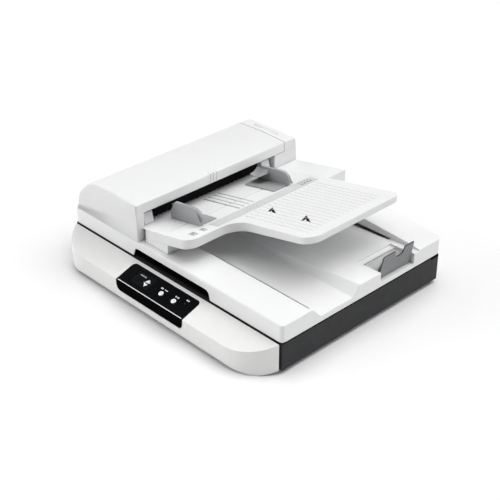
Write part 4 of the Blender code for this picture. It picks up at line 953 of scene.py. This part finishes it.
def add_screw(bm, x, y):
    """A screw under the base, whose head has a cross recess between four raised quarters."""
    down = Matrix.Translation((x, y, UNDERSIDE)) @ Matrix.Rotation(math.pi, 4, "X")
    add_prism(bm, circle(SCREW_HEAD, SCREW_STEPS), *HEAD_Z, down)
    for turn in range(4):
        spin = down @ Matrix.Rotation(math.pi / 2 * turn, 4, "Z")
        add_block(bm, QUARTER, QUARTER, QUARTER_Z, spin)


def make_underside():
    """Screw heads, and a blank rating plate with plain bars."""
    screws = bmesh.new()
    for x, y in SCREWS:
        add_screw(screws, x, y)
    piece("base_screws", screws, zinc, "base", radius=0.1 * MM)
    plate = bmesh.new()
    add_block(plate, *PLATE)
    piece("rating_plate", plate, stripe_grey, "base", radius=0.1 * MM)
    bars = bmesh.new()
    for step, y in enumerate(PLATE_BAR_ROW):
        end = PLATE_BAR_X[1] - PLATE_BAR_STEP * (step % 3)
        add_block(bars, (PLATE_BAR_X[0], end), (y, y + PLATE_BAR_WIDTH), PLATE_BAR_Z)
    flat_mark("rating_bars", bars, ink_grey, "base")


def make_seam_shade_strips():
    """Black strips along the base's two side walls, in the seam under the closed lid: painted shade for the
    dark line of that seam.
    """
    strips = bmesh.new()
    add_block(strips, (-SEAM_SHADE_X[1], -SEAM_SHADE_X[0]), SEAM_SHADE_Y, SEAM_SHADE_Z)
    add_block(strips, SEAM_SHADE_X, SEAM_SHADE_Y, SEAM_SHADE_Z)
    piece("seam_shade_strips", strips, painted_shade_black, "base")


def ruler_mark(step):
    """The length of a ruler's mark: each fifth one is long."""
    return SHORT_MARK if step % LONG_EVERY else LONG_MARK


def make_platen_marks():
    """Rulers on the platen beside the glass, and the white reference strip by the feeder's scan slot."""
    marks = bmesh.new()
    for step, x in enumerate(REAR_RULER_ROW):
        add_block(marks, around(x, MARK_HALF), (REAR_RULER_Y, REAR_RULER_Y + ruler_mark(step)), RULER_Z)
    for step, y in enumerate(LEFT_RULER_ROW):
        add_block(marks, (LEFT_RULER_X - ruler_mark(step), LEFT_RULER_X), around(y, MARK_HALF), RULER_Z)
    flat_mark("platen_rulers", marks, ink_pale, "base")
    strip = bmesh.new()
    add_block(strip, *REFERENCE_STRIP)
    flat_mark("reference_strip", strip, foam, "base", radius=0.05 * MM)


make_tray_ribs()
make_feed_ribs()
make_tray_arrows()
make_feed_sill()
make_scale_marks()
make_corner_marks()
make_guide_lips()
make_guide_flares()
make_panel_highlight()
make_window_marks()
make_key_signs()
make_arrow_prints()
make_key_rings()
make_lip_grips()
make_feeder_seam_shade()
make_mouth_shade_brush()
make_seam_shade_strips()
make_underside()
make_platen_marks()

# Stage

FLOOR_HALF = 6.0
FLOOR_WHITES = ((0.90, 0.90, 0.905), (0.92, 0.92, 0.925))
SUNS = (  # name, direction towards the light, strength and spread in degrees
    ("top", (0.0, 0.0, 1.0), 1.3, 60.0),
    ("back", (0.0, 0.55, 0.83), 1.0, 55.0),
    ("right", (0.45, 0.35, 0.82), 0.85, 50.0),
    ("left", (-0.85, -0.25, 0.45), 0.54, 50.0),
    ("front", (-0.60, -0.78, 0.12), 1.8, 60.0),
    ("side", (0.70, 0.55, 0.45), 0.56, 45.0),
)
SKY_LIGHT = 0.01
SKY_SEEN = 1.0
CAMERA_PLACE = (1.40414, -1.33131, 1.22382)
CAMERA_BACK = Vector((0.61611, -0.59203, 0.51956))
CAMERA_LENS = 81.571
CAMERA_SENSOR = 36.0


def make_floor():
    """A wide pale floor under the scanner."""
    bm = bmesh.new()
    bmesh.ops.create_grid(bm, x_segments=1, y_segments=1, size=FLOOR_HALF)
    mesh = bpy.data.meshes.new("floor")
    bm.to_mesh(mesh)
    bm.free()
    floor = bpy.data.objects.new("floor", mesh)
    bpy.context.scene.collection.objects.link(floor)
    finish, tree, shader = blank_material("floor", roughness=0.6)
    first, second = (shade(colour, 1.0) for colour in FLOOR_WHITES)
    faint = mixed(tree, noise(tree, scale=3.0, detail=3.0), first, second)
    tree.links.new(faint, shader.inputs["Base Color"])
    mesh.materials.append(finish)


def make_sky():
    """A white backdrop that is seen past the floor's edge, but hardly lights the scanner."""
    world = bpy.data.worlds.new("studio")
    bpy.context.scene.world = world
    world.use_nodes = True
    tree = world.node_tree
    backdrop = tree.nodes["Background"]
    backdrop.inputs["Color"].default_value = (1.0, 1.0, 1.0, 1.0)
    seen = add_node(tree, "ShaderNodeLightPath").outputs["Is Camera Ray"]
    tree.links.new(mapped(tree, seen, UNIT_RANGE, (SKY_LIGHT, SKY_SEEN)), backdrop.inputs["Strength"])


def make_suns():
    """Soft distant lights, each shining from its direction."""
    for name, towards, strength, spread in SUNS:
        data = bpy.data.lights.new(name, "SUN")
        data.energy = strength
        data.angle = math.radians(spread)
        sun = bpy.data.objects.new(name, data)
        bpy.context.scene.collection.objects.link(sun)
        sun.rotation_mode = "QUATERNION"
        sun.rotation_quaternion = Vector(towards).to_track_quat("Z", "Y")


def make_camera():
    data = bpy.data.cameras.new("camera")
    data.sensor_width = CAMERA_SENSOR
    data.lens = CAMERA_LENS
    camera = bpy.data.objects.new("camera", data)
    bpy.context.scene.collection.objects.link(camera)
    camera.location = CAMERA_PLACE
    camera.rotation_mode = "QUATERNION"
    camera.rotation_quaternion = (-CAMERA_BACK).to_track_quat("-Z", "Y")
    bpy.context.scene.camera = camera


make_floor()
make_sky()
make_suns()
make_camera()
bpy.context.scene.view_settings.view_transform = "Standard"
